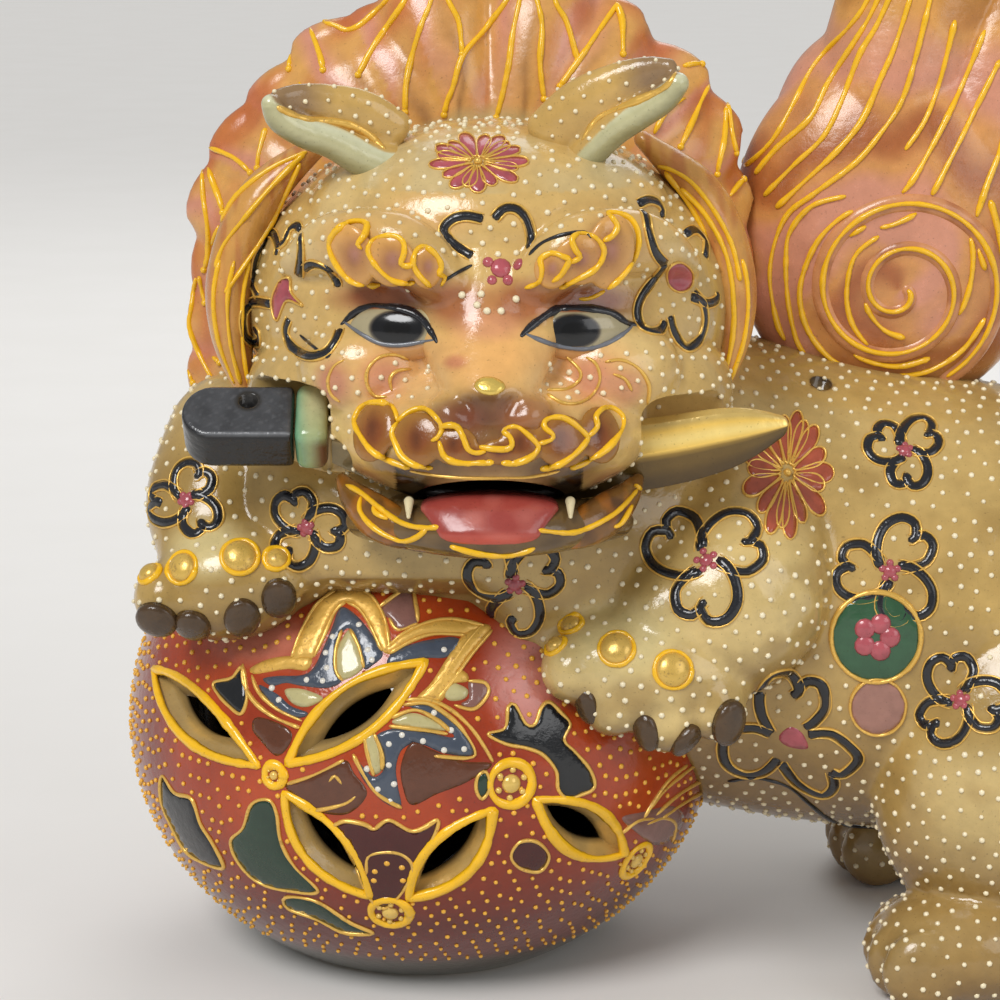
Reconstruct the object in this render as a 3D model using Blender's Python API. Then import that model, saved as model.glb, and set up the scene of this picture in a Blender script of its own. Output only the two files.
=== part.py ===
"""Guardian lion figurine: a slip-cast lion leaning on a pierced hollow ball, with a dagger in its mouth.

Metres, +Z up. The ball's flat foot stands on Z = 0 with its centre at the origin, the body runs to +X and the
face looks along -Y. Left and right are the viewer's, looking along +Y.
"""
import math

import bmesh
import bpy
from mathutils import Euler, Matrix, Vector
from mathutils.bvhtree import BVHTree

for old in list(bpy.data.objects):
    bpy.data.objects.remove(old, do_unlink=True)

# Joints between the luted casts
seat_gap = 0.0003
hairline = 0.000004

# Ball: a slightly flattened hollow shell on a flat foot
ball_radius = 0.065
ball_half_height = 0.057
ball_rise = 0.050
ball_wall = 0.004
slit_length = 0.0185
slit_width = 0.0062
slit_flare = 0.0032
knot_margin = 0.0048
ball_sides = 32
ball_rings = 12
knots = {"outer": (-69.0, 17.0), "low_left": (-27.0, 3.0), "bottom": (-6.0, -28.0), "low_right": (17.0, 2.5),
         "far": (49.0, -22.0), "crown": (3.0, 29.0)}
slit_ties = [("outer", "low_left"), ("low_left", "crown"), ("low_left", "bottom"),
             ("bottom", "low_right"), ("low_right", "far")]

# Body: chest over the ball, barrel and rump behind it
shoulder_reach = 0.050
rump_reach = 0.166
saddle_sink = 0.004
chest_depth = 0.092
chest_height = 0.076
barrel_depth = 0.092
barrel_height = 0.102
belly_clearance = 0.023
vent_diameter = 0.0035
vent_depth = 0.006

# Forelegs and paws
left_arm_radius = 0.017
right_arm_radius = 0.022
left_paw_width = 0.033
right_paw_width = 0.043
paw_thickness = 0.022
toe_radius = 0.0064
boss_radius = 0.0039
boss_rise = 0.0016
claw_length = 0.0095
claw_width = 0.0072
claw_thickness = 0.0036

# Hind legs
thigh_length = 0.062
thigh_height = 0.084
thigh_depth = 0.048
thigh_spread = 0.030
shin_radius = 0.0170
hind_foot_length = 0.046
hind_foot_width = 0.034
hind_foot_height = 0.025
hind_toe_x = 0.092

# Head
head_aside = 0.0145
head_forward = 0.027
head_lift = 0.040
head_half_width = 0.0500
head_half_depth = 0.0430
head_half_height = 0.0400
muzzle_half_width = 0.0320
muzzle_reach = 0.0290
nose_radius = 0.0085
bridge_half_width = 0.0125
mouth_width = 0.029
mouth_height = 0.0110
jaw_half_width = 0.0230
jaw_half_height = 0.0048
tongue_half_thickness = 0.0028
eye_half_width = 0.0098
eye_half_height = 0.0056
eye_half_depth = 0.0036
eye_spread = 0.0180
brow_ridge_radius = 0.0065
brow_radius = 0.0054
moustache_radius = 0.0060
relief_proud = 0.0021
beard_radius = 0.0062
fang_length = 0.0040
fang_radius = 0.0016
ear_length = 0.031
ear_half_width = 0.0080
ear_half_thickness = 0.0052

# Mane, locks and tail
mane_reach = 0.067
mane_thickness = 0.022
mane_sway = 0.0025
lock_radius = 0.0115
side_lock_radius = 0.0060
nape_thickness = 0.020
tail_height = 0.238
tail_radius = 0.033
tail_thickness = 0.036
tail_x = 0.101
tail_depth = 0.009
swirl_radius = 0.021
swirl_turns = 2.2
swirl_roll = 0.0032

# Dagger
dagger_depth = 0.058
dagger_rise = 0.122
grip_length = 0.0222
grip_height = 0.0175
grip_thickness = 0.0130
peg_hole_diameter = 0.0042
peg_hole_depth = 0.004
collar_length = 0.0068
collar_height = 0.0195
collar_thickness = 0.0150
blade_height = 0.0145
blade_thickness = 0.0058
blade_reach = 0.0735
grip_end = -0.0460

ball_centre = Vector((0.0, 0.0, ball_rise))
ball_top = ball_rise + ball_half_height
head_centre = Vector((head_aside, -head_forward, ball_top + head_lift))


def glaze(name, colour, roughness=0.25, metallic=0.0):
    """A fired surface: one Principled material."""
    material = bpy.data.materials.new(name)
    material.use_nodes = True
    shader = material.node_tree.nodes["Principled BSDF"]
    shader.inputs["Base Color"].default_value = (*colour, 1.0)
    shader.inputs["Roughness"].default_value = roughness
    shader.inputs["Metallic"].default_value = metallic
    return material


def add_egg(bm, centre, radii, turn=(0.0, 0.0, 0.0), fineness=3):
    """A closed ellipsoid; turn is in degrees about X, Y and Z."""
    spin = Euler([math.radians(angle) for angle in turn]).to_matrix().to_4x4()
    place = Matrix.Translation(Vector(centre)) @ spin @ Matrix.Diagonal((*radii, 1.0))
    bmesh.ops.create_icosphere(bm, subdivisions=fineness, radius=1.0, matrix=place)


def smooth_stations(stations, steps):
    """Catmull-Rom stations between the given ones."""
    rows = [stations[0], *stations, stations[-1]]
    result = []
    for index in range(1, len(rows) - 2):
        before, start, end, after = rows[index - 1:index + 3]
        for step in range(steps):
            t = step / steps
            result.append(tuple(
                0.5 * (2 * b + (c - a) * t + (2 * a - 5 * b + 4 * c - d) * t * t
                       + (3 * b - a - 3 * c + d) * t ** 3)
                for a, b, c, d in zip(before, start, end, after)))
    result.append(tuple(stations[-1]))
    return result


def add_sweep(bm, stations, sides=12, steps=3, across=(0.0, -1.0, 0.0)):
    """A closed rounded form along stations of (x, y, z, half width, half thickness), thick along across."""
    rows = smooth_stations(stations, steps)
    centres = [Vector(row[:3]) for row in rows]
    rings = []
    for index, row in enumerate(rows):
        ahead = centres[min(index + 1, len(rows) - 1)] - centres[max(index - 1, 0)]
        ahead.normalize()
        side = ahead.cross(Vector(across)).normalized()
        lift = side.cross(ahead).normalized()
        rings.append((centres[index], ahead, side, lift, row[3], row[4]))
    layers = []
    first, last = rings[0], rings[-1]
    for angle in (60.0, 30.0):
        layers.append(cap_ring(first, -1.0, math.radians(angle)))
    layers.extend(rings)
    for angle in (30.0, 60.0):
        layers.append(cap_ring(last, 1.0, math.radians(angle)))
    loops = []
    for centre, ahead, side, lift, width, thickness in layers:
        loop = []
        for step in range(sides):
            turn = 2 * math.pi * step / sides
            spot = centre + side * width * math.cos(turn) + lift * thickness * math.sin(turn)
            loop.append(bm.verts.new(spot))
        loops.append(loop)
    for lower, upper in zip(loops, loops[1:]):
        for step in range(sides):
            after = (step + 1) % sides
            bm.faces.new((lower[step], lower[after], upper[after], upper[step]))
    start = bm.verts.new(first[0] - first[1] * min(first[4], first[5]))
    end = bm.verts.new(last[0] + last[1] * min(last[4], last[5]))
    for step in range(sides):
        after = (step + 1) % sides
        bm.faces.new((start, loops[0][after], loops[0][step]))
        bm.faces.new((end, loops[-1][step], loops[-1][after]))


def cap_ring(ring, way, angle):
    """One shrinking ring of a sweep's rounded end."""
    centre, ahead, side, lift, width, thickness = ring
    out = min(width, thickness) * math.sin(angle)
    return centre + ahead * way * out, ahead, side, lift, width * math.cos(angle), thickness * math.cos(angle)


def bake(piece):
    """Replaces the piece's mesh with what its modifiers make of it."""
    graph = bpy.context.evaluated_depsgraph_get()
    shaped = bpy.data.meshes.new_from_object(piece.evaluated_get(graph))
    piece.modifiers.clear()
    rough = piece.data
    piece.data = shaped
    bpy.data.meshes.remove(rough)


def place(name, bm, material):
    """A new piece from a finished bmesh, its faces pointing out."""
    bmesh.ops.recalc_face_normals(bm, faces=bm.faces)
    mesh = bpy.data.meshes.new(name)
    bm.to_mesh(mesh)
    bm.free()
    mesh.materials.append(material)
    mesh.shade_smooth()
    piece = bpy.data.objects.new(name, mesh)
    bpy.context.collection.objects.link(piece)
    return piece


def mould(name, bm, material, grain, facets, softening=4):
    """One cast skin over the overlapping forms in bm, softened as slip does, in about the given facets."""
    piece = place(name, bm, material)
    skin = piece.modifiers.new("skin", "REMESH")
    skin.mode = "VOXEL"
    skin.voxel_size = grain
    soft = piece.modifiers.new("soft", "SMOOTH")
    soft.factor = 0.5
    soft.iterations = softening
    bake(piece)
    thin = piece.modifiers.new("thin", "DECIMATE")
    thin.ratio = min(1.0, facets / (2.0 * len(piece.data.polygons)))
    bake(piece)
    piece.data.materials.clear()
    piece.data.materials.append(material)
    piece.data.shade_smooth()
    return piece


def carve(piece, cutter, solver="EXACT"):
    """Cuts the piece by the cutter, which is used up."""
    cutter.hide_render = True
    cutter.display_type = "WIRE"
    knife = piece.modifiers.new("knife", "BOOLEAN")
    knife.operation = "DIFFERENCE"
    knife.solver = solver
    knife.object = cutter
    bake(piece)
    blank = cutter.data
    bpy.data.objects.remove(cutter, do_unlink=True)
    bpy.data.meshes.remove(blank)


def seat(piece, *neighbours):
    """Cuts the piece back from its neighbours' surfaces by the seat gap, so that they meet like luted casts.

    Each neighbour cuts twice: barely grown, which holds in tight corners too, and then grown by the whole
    gap. The grown copies fold a little over themselves there, which the exact solver can't cut by.
    """
    for neighbour in neighbours:
        for growth in (seat_gap * 0.2, seat_gap):
            bm = bmesh.new()
            bm.from_mesh(neighbour.data)
            bm.normal_update()
            steps = [vertex.normal * growth * min(2.0, vertex.calc_shell_factor()) for vertex in bm.verts]
            for vertex, step in zip(bm.verts, steps):
                vertex.co += step
            mesh = bpy.data.meshes.new("cutter")
            bm.to_mesh(mesh)
            bm.free()
            cutter = bpy.data.objects.new("cutter", mesh)
            bpy.context.collection.objects.link(cutter)
            carve(piece, cutter, "MANIFOLD")
    keep_main_body(piece)


def keep_main_body(piece):
    """Drops the crumbs that a cut leaves; the largest body is the piece.

    Hairline edges are merged, less of them where merging would leave the skin folded.
    """
    for merging in (hairline, hairline / 4, 0.0):
        bm = bmesh.new()
        bm.from_mesh(piece.data)
        bmesh.ops.triangulate(bm, faces=bm.faces)
        if merging:
            bmesh.ops.dissolve_degenerate(bm, dist=merging, edges=bm.edges)
            bmesh.ops.triangulate(bm, faces=bm.faces)
            drop_folded_faces(bm)
        if all(edge.is_contiguous for edge in bm.edges):
            break
    islands = []
    left = set(bm.faces)
    while left:
        stack = [left.pop()]
        island = set(stack)
        while stack:
            for edge in stack.pop().edges:
                for face in edge.link_faces:
                    if face in left:
                        left.discard(face)
                        island.add(face)
                        stack.append(face)
        islands.append(island)
    main = max(islands, key=lambda island: sum(face.calc_area() for face in island))
    crumbs = [face for island in islands if island is not main for face in island]
    bmesh.ops.delete(bm, geom=crumbs, context="FACES")
    bmesh.ops.delete(bm, geom=[edge for edge in bm.edges if not edge.link_faces], context="EDGES")
    bmesh.ops.recalc_face_normals(bm, faces=bm.faces)
    bm.to_mesh(piece.data)
    bm.free()
    piece.data.shade_smooth()


def drop_folded_faces(bm):
    """Takes out triangles that a cut left lying back to back on the same three corners."""
    seen = {}
    folded = []
    for face in bm.faces:
        corners = frozenset(vertex.index for vertex in face.verts)
        if corners in seen:
            folded.extend((face, seen.pop(corners)))
        else:
            seen[corners] = face
    bmesh.ops.delete(bm, geom=folded, context="FACES")


def surface_of(piece):
    bm = bmesh.new()
    bm.from_mesh(piece.data)
    tree = BVHTree.FromBMesh(bm)
    bm.free()
    return tree


def on_surface(tree, start, toward):
    """The first point of a piece's surface from start toward a point, and its outward direction."""
    way = (Vector(toward) - Vector(start)).normalized()
    spot, normal = tree.ray_cast(Vector(start), way)[:2]
    if spot is None:
        spot, normal = tree.find_nearest(Vector(toward))[:2]
    return spot, normal


def cut_flat(piece, level=0.0):
    """Takes away what hangs below the standing surface."""
    reach = 0.3
    bm = bmesh.new()
    bmesh.ops.create_cube(bm, size=1.0, matrix=Matrix.Translation((0.0, 0.0, level - reach / 2))
                          @ Matrix.Diagonal((4 * reach, 4 * reach, reach, 1.0)))
    cutter = place("cutter", bm, piece.data.materials[0])
    carve(piece, cutter)
    keep_main_body(piece)


def ball_spot(longitude, latitude, lift=0.0):
    """A point on the ball at a longitude from the front and a latitude, lifted off its surface."""
    turn = math.radians(longitude)
    climb = math.radians(latitude)
    flat = ball_radius * math.cos(climb)
    spot = Vector((flat * math.sin(turn), -flat * math.cos(turn), ball_half_height * math.sin(climb)))
    normal = Vector((spot.x / ball_radius ** 2, spot.y / ball_radius ** 2, spot.z / ball_half_height ** 2))
    return ball_centre + spot + normal.normalized() * lift


def add_shell_skin(bm, radius, half_height, floor, sides, rings, outward):
    """One skin of the ball: an ellipse turned about the upright axis, closed flat at the floor."""
    low = math.asin(max(-1.0, (floor - ball_rise) / half_height))
    loops = []
    for ring in range(rings):
        climb = low + (math.pi / 2 - low) * ring / rings
        flat = radius * math.cos(climb)
        height = ball_rise + half_height * math.sin(climb)
        loops.append([bm.verts.new((flat * math.cos(2 * math.pi * side / sides),
                                    flat * math.sin(2 * math.pi * side / sides), height))
                      for side in range(sides)])
    top = bm.verts.new((0.0, 0.0, ball_rise + half_height))
    base = bm.verts.new((0.0, 0.0, floor))
    faces = []
    for lower, upper in zip(loops, loops[1:]):
        for side in range(sides):
            after = (side + 1) % sides
            faces.append((lower[side], lower[after], upper[after], upper[side]))
    for side in range(sides):
        after = (side + 1) % sides
        faces.append((loops[-1][side], loops[-1][after], top))
        faces.append((base, loops[0][after], loops[0][side]))
    for corners in faces:
        bm.faces.new(corners if outward else tuple(reversed(corners)))


def slit_cutter(start, end, material):
    """An almond through the ball's wall between two knots, flared outwards like a countersink."""
    middle = (start + end) / 2 - ball_centre
    flattened = middle.z / ball_half_height ** 2
    outward = Vector((middle.x / ball_radius ** 2, middle.y / ball_radius ** 2, flattened)).normalized()
    along = end - start
    span = along.length / 2 - knot_margin
    along = (along - outward * along.dot(outward)).normalized()
    wide = outward.cross(along)
    centre = ball_centre + middle
    half = slit_width / 2
    rings = [(-ball_wall * 2.2, slit_length / 2, half), (-ball_wall * 0.6, slit_length / 2, half),
             (0.0, span, half + slit_flare), (ball_wall, span * 1.1, half + slit_flare * 1.4)]
    bm = bmesh.new()
    loops = []
    for level, half_length, half_width in rings:
        loop = []
        for step in range(10):
            turn = 2 * math.pi * step / 10
            reach = math.cos(turn)
            breadth = math.copysign(1.0 - reach * reach, math.sin(turn)) if step % 5 else 0.0
            spot = centre + outward * level + along * half_length * reach + wide * half_width * breadth
            loop.append(bm.verts.new(spot))
        loops.append(loop)
    for lower, upper in zip(loops, loops[1:]):
        for step in range(10):
            after = (step + 1) % 10
            bm.faces.new((lower[step], lower[after], upper[after], upper[step]))
    bm.faces.new(loops[0])
    bm.faces.new(loops[-1])
    return place("cutter", bm, material)


def make_ball():
    """The hollow ball, its slits cut between the knots on the front and once more on the back."""
    material = glaze("ball_red_enamel", (0.62, 0.16, 0.06), 0.3)
    bm = bmesh.new()
    add_shell_skin(bm, ball_radius, ball_half_height, 0.0, ball_sides, ball_rings, True)
    add_shell_skin(bm, ball_radius - ball_wall, ball_half_height - ball_wall, ball_wall, 20, 8, False)
    mesh = bpy.data.meshes.new("ball")
    bm.to_mesh(mesh)
    bm.free()
    mesh.materials.append(material)
    mesh.shade_smooth()
    ball = bpy.data.objects.new("ball", mesh)
    bpy.context.collection.objects.link(ball)
    for half_turn in (0.0, 180.0):
        spots = {key: ball_spot(longitude + half_turn, latitude) for key, (longitude, latitude) in knots.items()}
        for start, end in slit_ties:
            carve(ball, slit_cutter(spots[start], spots[end], material))
    keep_main_body(ball)
    return ball


def make_ball_blank():
    """The ball's outer form without its slits, which the other casts are shaped against."""
    bm = bmesh.new()
    add_shell_skin(bm, ball_radius, ball_half_height, 0.0, ball_sides, ball_rings, True)
    blank = place("ball_blank", bm, glaze("blank_clay", (0.6, 0.6, 0.6)))
    blank.hide_render = True
    blank.display_type = "WIRE"
    return blank


def make_body(ball, head):
    """Chest, barrel and rump as one lofted casting, seated over the ball and under the head.

    A shape is (share of the length, climb to the chest, set back, width, height) against the named sizes.
    """
    material = glaze("body_tan_glaze", (0.50, 0.36, 0.20), 0.35)
    shapes = [(0.002, 0.95, -0.17, 0.02, 0.02), (0.010, 0.95, -0.17, 0.28, 0.34), (0.035, 0.95, -0.17, 0.50, 0.55),
              (0.090, 0.92, -0.16, 0.74, 0.76), (0.190, 0.88, -0.14, 0.93, 0.92), (0.300, 0.80, -0.10, 1.00, 1.03),
              (0.410, 0.58, -0.03, 1.00, 1.00), (0.520, 0.30, 0.03, 1.00, 1.00), (0.630, 0.12, 0.03, 1.00, 1.00),
              (0.740, 0.02, 0.02, 1.00, 0.98), (0.820, -0.05, 0.02, 0.97, 0.95), (0.885, -0.10, 0.02, 0.87, 0.86),
              (0.935, -0.14, 0.02, 0.72, 0.72), (0.970, -0.17, 0.02, 0.52, 0.53), (0.988, -0.19, 0.02, 0.30, 0.30),
              (0.996, -0.20, 0.02, 0.12, 0.12), (0.998, -0.20, 0.02, 0.02, 0.02)]
    length = shoulder_reach + rump_reach
    barrel_level = belly_clearance + barrel_height / 2
    rise = ball_top - saddle_sink - barrel_level
    stations = []
    for along, climb, set_back, wide, tall in shapes:
        blend = min(1.0, max(0.0, (along - 0.25) / 0.2))
        depth = chest_depth + (barrel_depth - chest_depth) * blend
        height = chest_height + (barrel_height - chest_height) * blend
        stations.append((-shoulder_reach + length * along, depth * set_back, barrel_level + rise * climb,
                         wide * depth / 2, tall * height / 2))
    bm = bmesh.new()
    add_sweep(bm, stations, sides=28, steps=2, across=(0.0, 0.0, 1.0))
    body = mould("body", bm, material, 0.0022, 720, 3)
    seat(body, ball, head)
    drill_vent(body, material)
    return body


def drill_vent(body, material):
    """The small firing vent high on the back, on the side that shows."""
    aim = Vector((rump_reach * 0.51, -tail_thickness * 0.48, belly_clearance + barrel_height * 0.99))
    spot, normal = on_surface(surface_of(body), aim + Vector((0.0, -barrel_depth, barrel_height * 0.2)), aim)
    tilt = normal.to_track_quat("Z", "Y").to_matrix().to_4x4()
    bm = bmesh.new()
    bmesh.ops.create_cone(bm, cap_ends=True, segments=12, radius1=vent_diameter / 2, radius2=vent_diameter / 2,
                          depth=2 * vent_depth, matrix=Matrix.Translation(spot) @ tilt)
    carve(body, place("cutter", bm, material))
    keep_main_body(body)


def make_head():
    """Skull, brow ridges, cheeks, muzzle and nose as one casting with the mouth opening."""
    material = glaze("head_tan_glaze", (0.60, 0.42, 0.25), 0.3)
    wide, deep, tall = head_half_width, head_half_depth, head_half_height
    bm = bmesh.new()

    def at(x, y, z):
        return head_centre + Vector((x * wide, y * deep, z * tall))

    muzzle = at(0.0, -0.68, -0.56)
    add_egg(bm, at(0.0, 0.0, -0.06), (wide, deep, tall * 0.95))
    add_egg(bm, at(0.0, -0.28, 0.42), (wide * 0.74, deep * 0.66, tall * 0.47))
    add_egg(bm, muzzle, (muzzle_half_width, muzzle_reach, tall * 0.37))
    for side in (-1.0, 1.0):
        add_egg(bm, at(side * 0.56, -0.36, -0.44), (wide * 0.42, deep * 0.52, tall * 0.42))
        add_egg(bm, at(side * 0.46, -0.76, -0.26), (wide * 0.29, deep * 0.26, tall * 0.27))
        ridge = [(0.16, -0.96, 0.18, 0.75), (0.34, -0.95, 0.36, 1.05), (0.60, -0.77, 0.36, 0.95),
                 (0.78, -0.55, 0.22, 0.50)]
        add_sweep(bm, [(*at(side * x, y, z), brow_ridge_radius * size, brow_ridge_radius * size * 0.8)
                       for x, y, z, size in ridge])
        add_egg(bm, at(side * 0.13, -1.19, -0.40), (nose_radius * 0.68, nose_radius * 0.72, nose_radius * 0.55))
    add_sweep(bm, [(*at(0.0, -0.86, 0.26), bridge_half_width, nose_radius * 0.8),
                   (*at(0.0, -1.02, -0.08), bridge_half_width * 0.92, nose_radius * 0.85),
                   (*at(0.0, -1.20, -0.33), nose_radius * 0.95, nose_radius * 0.66)])
    head = mould("head", bm, material, 0.0013, 1050, 4)
    carve(head, mouth_cutter(material))
    return head


def mouth_cutter(material):
    """The open mouth: a low rounded slot behind the lips."""
    bm = bmesh.new()
    level = mouth_level()
    front = muzzle_front()
    add_sweep(bm, [(head_centre.x, front - mouth_height, level, mouth_width / 2, mouth_height / 2),
                   (head_centre.x, front + muzzle_reach * 0.62, level, mouth_width / 2, mouth_height / 2)],
              sides=16, steps=2, across=(0.0, 0.0, 1.0))
    return place("cutter", bm, material)


def mouth_level():
    return head_centre.z - head_half_height * 0.56 - head_half_height * 0.37 + mouth_height * 0.35


def muzzle_front():
    return head_centre.y - head_half_depth * 0.68 - muzzle_reach


def make_jaw():
    """The lower jaw and chin, a crescent under the muzzle."""
    material = glaze("jaw_ochre_glaze", (0.55, 0.38, 0.18), 0.3)
    level = mouth_level() - mouth_height * 0.46
    front = muzzle_front()
    rows = []
    for aside, back, rise, size in ((-1.0, 0.90, -0.45, 0.85), (-0.55, 0.42, -0.1, 1.05), (0.0, 0.26, -0.1, 1.1),
                                    (0.55, 0.42, -0.1, 1.05), (1.0, 0.90, -0.45, 0.85)):
        rows.append((head_centre.x + jaw_half_width * aside, front + muzzle_reach * back,
                     level + jaw_half_height * rise, jaw_half_height * 1.5 * size, jaw_half_height * size))
    bm = bmesh.new()
    add_sweep(bm, rows, sides=14, steps=3, across=(0.0, 0.0, 1.0))
    add_egg(bm, (head_centre.x, front + muzzle_reach * 0.95, level - jaw_half_height * 0.3),
            (jaw_half_width, muzzle_reach * 0.75, jaw_half_height * 1.1))
    return mould("lower_jaw", bm, material, 0.0012, 200, 3)


def make_tongue(head, jaw):
    """The tongue, rolled over the lower lip."""
    material = glaze("tongue_red_glaze", (0.62, 0.10, 0.07), 0.12)
    half = mouth_width / 2 - fang_radius
    rows = []
    for back, drop, wide, thick in ((0.50, 0.11, 0.96, 0.85), (0.26, 0.09, 1.0, 1.0), (0.17, 0.14, 0.94, 1.05),
                                    (0.06, 0.44, 0.74, 0.95)):
        rows.append((head_centre.x, muzzle_front() + muzzle_reach * back, mouth_level() - mouth_height * drop,
                     half * wide, tongue_half_thickness * thick))
    bm = bmesh.new()
    add_sweep(bm, rows, sides=14, steps=2, across=(0.0, 0.0, 1.0))
    tongue = place("tongue", bm, material)
    seat(tongue, jaw, head)
    return tongue


def make_fangs(head, jaw, tongue):
    """A small canine at each end of the mouth."""
    material = glaze("fang_ivory_glaze", (0.80, 0.74, 0.58), 0.2)
    for name, side in (("fang_left", -1.0), ("fang_right", 1.0)):
        x = head_centre.x + side * (mouth_width / 2 + fang_radius)
        root = mouth_level() + mouth_height * 0.20
        bm = bmesh.new()
        tip = (x, muzzle_front() + muzzle_reach * 0.16, root - fang_length)
        add_sweep(bm, [(x, muzzle_front() + muzzle_reach * 0.26, root, fang_radius, fang_radius),
                       (*tip, fang_radius * 0.4, fang_radius * 0.4)], sides=8, steps=2)
        seat(place(name, bm, material), head, jaw, tongue)


def make_eyes(head):
    """Eyes: almond domes bedded in the face under the brows."""
    material = glaze("eye_black_glaze", (0.03, 0.03, 0.04), 0.08)
    tree = surface_of(head)
    for name, side in (("eye_left", -1.0), ("eye_right", 1.0)):
        x = head_centre.x + side * eye_spread
        z = head_centre.z - head_half_height * 0.05
        spot, normal = on_surface(tree, (x, -1.0, z), (x, 0.0, z))
        bm = bmesh.new()
        add_egg(bm, spot - normal * eye_half_depth * 0.2, (eye_half_width, eye_half_depth, eye_half_height),
                (0.0, 0.0, side * 16.0), 2)
        seat(place(name, bm, material), head)


def relief(name, head, tree, side, stations, radius, material):
    """A raised roll that follows the face: a station is (aside, up, size) in head widths, heights and radii."""
    rows = []
    for aside, up, size in stations:
        x = head_centre.x + side * head_half_width * aside
        z = head_centre.z + head_half_height * up
        spot, normal = on_surface(tree, (x, -1.0, z), (x, 0.0, z))
        thickness = radius * size * 0.6
        rows.append((*(spot + normal * (relief_proud - thickness)), radius * size, thickness))
    bm = bmesh.new()
    add_sweep(bm, rows, sides=8, steps=2)
    seat(place(name, bm, material), head)


def make_face_reliefs(head, jaw, dagger, body):
    """Brows, moustache and beard: modelled rolls applied to the face."""
    brown = glaze("brow_ochre_glaze", (0.62, 0.32, 0.10), 0.25)
    mauve = glaze("moustache_brown_glaze", (0.52, 0.24, 0.12), 0.25)
    ochre = glaze("beard_ochre_glaze", (0.58, 0.40, 0.10), 0.25)
    tree = surface_of(head)
    brow = [(0.16, 0.23, 0.60), (0.32, 0.33, 0.85), (0.48, 0.38, 1.15), (0.61, 0.42, 0.80)]
    band = [(0.078, -0.57, 0.80), (0.24, -0.60, 1.00), (0.41, -0.52, 1.00), (0.51, -0.37, 0.62)]
    for word, side in (("left", -1.0), ("right", 1.0)):
        relief("brow_" + word, head, tree, side, brow, brow_radius, brown)
        relief("moustache_" + word, head, tree, side, band, moustache_radius, mauve)
        rows = []
        for aside, forward, up, size in ((0.38, 1.10, -0.90, 0.80), (0.60, 0.86, -0.94, 1.15), (0.78, 0.50, -0.94, 0.55)):
            offset = Vector((side * head_half_width * aside, -head_half_depth * forward, head_half_height * up))
            spot = head_centre + offset
            rows.append((*spot, beard_radius * size, beard_radius * size * 0.9))
        bm = bmesh.new()
        add_sweep(bm, rows, sides=10, steps=2)
        seat(place("beard_" + word, bm, ochre), head, jaw, *dagger, body)


def make_ears(head):
    """Ears: thick folded leaves standing out from the hairline."""
    material = glaze("ear_celadon_glaze", (0.62, 0.62, 0.48), 0.25)
    ears = []
    for word, side, spread, lift in (("left", -1.0, 0.84, 0.40), ("right", 1.0, 0.72, 0.52)):
        base = head_centre + Vector((side * head_half_width * 0.34, -head_half_depth * 0.42, head_half_height * 0.70))
        tip = base + Vector((side * spread, -0.22, lift)) * ear_length
        middle = (base + tip) / 2 + Vector((0.0, -0.06, 0.08)) * ear_length
        bm = bmesh.new()
        add_sweep(bm, [(*base, ear_half_width * 1.25, ear_half_thickness * 1.5),
                       (*middle, ear_half_width, ear_half_thickness),
                       (*tip, ear_half_width * 0.66, ear_half_thickness * 0.6)],
                  sides=10, steps=3, across=(0.0, -0.9, 0.4))
        ear = place("ear_" + word, bm, material)
        seat(ear, head)
        ears.append(ear)
    return ears


def add_lock(bm, root, tip, radius, bend, depth, thickness):
    """One flame lock from root to tip, both (x, z), at a depth, bowed sideways by bend."""
    start = Vector((root[0], depth, root[1]))
    end = Vector((tip[0], depth + thickness * 0.2, tip[1]))
    run = end - start
    sideways = Vector((-run.z, 0.0, run.x)).normalized() * bend
    near = start + run * 0.38 + sideways
    far = start + run * 0.74 + sideways * 0.8
    add_sweep(bm, [(*start, radius * 0.95, thickness / 2), (*near, radius, thickness / 2),
                   (*far, radius * 0.98, thickness * 0.42), (*end, radius * 0.58, thickness * 0.20)], sides=12, steps=3)


def mane_part(name, locks, material, facets, neighbours):
    """A fan of flame locks as one casting; a lock is (angle from upright, reach, sway)."""
    bm = bmesh.new()
    centre = head_centre + Vector((0.0, 0.0, head_half_height * 0.075))
    for angle, reach, sway in locks:
        turn = math.radians(angle)
        way = (math.sin(turn), math.cos(turn))
        inner = head_half_width * 0.62
        root = (centre.x + way[0] * inner, centre.z + way[1] * inner)
        tip = (centre.x + way[0] * mane_reach * reach, centre.z + way[1] * mane_reach * reach)
        add_lock(bm, root, tip, lock_radius, mane_sway * sway, -mane_thickness * 0.18, mane_thickness)
    part = mould(name, bm, material, 0.0014, facets, 3)
    seat(part, *neighbours)
    return part


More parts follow.
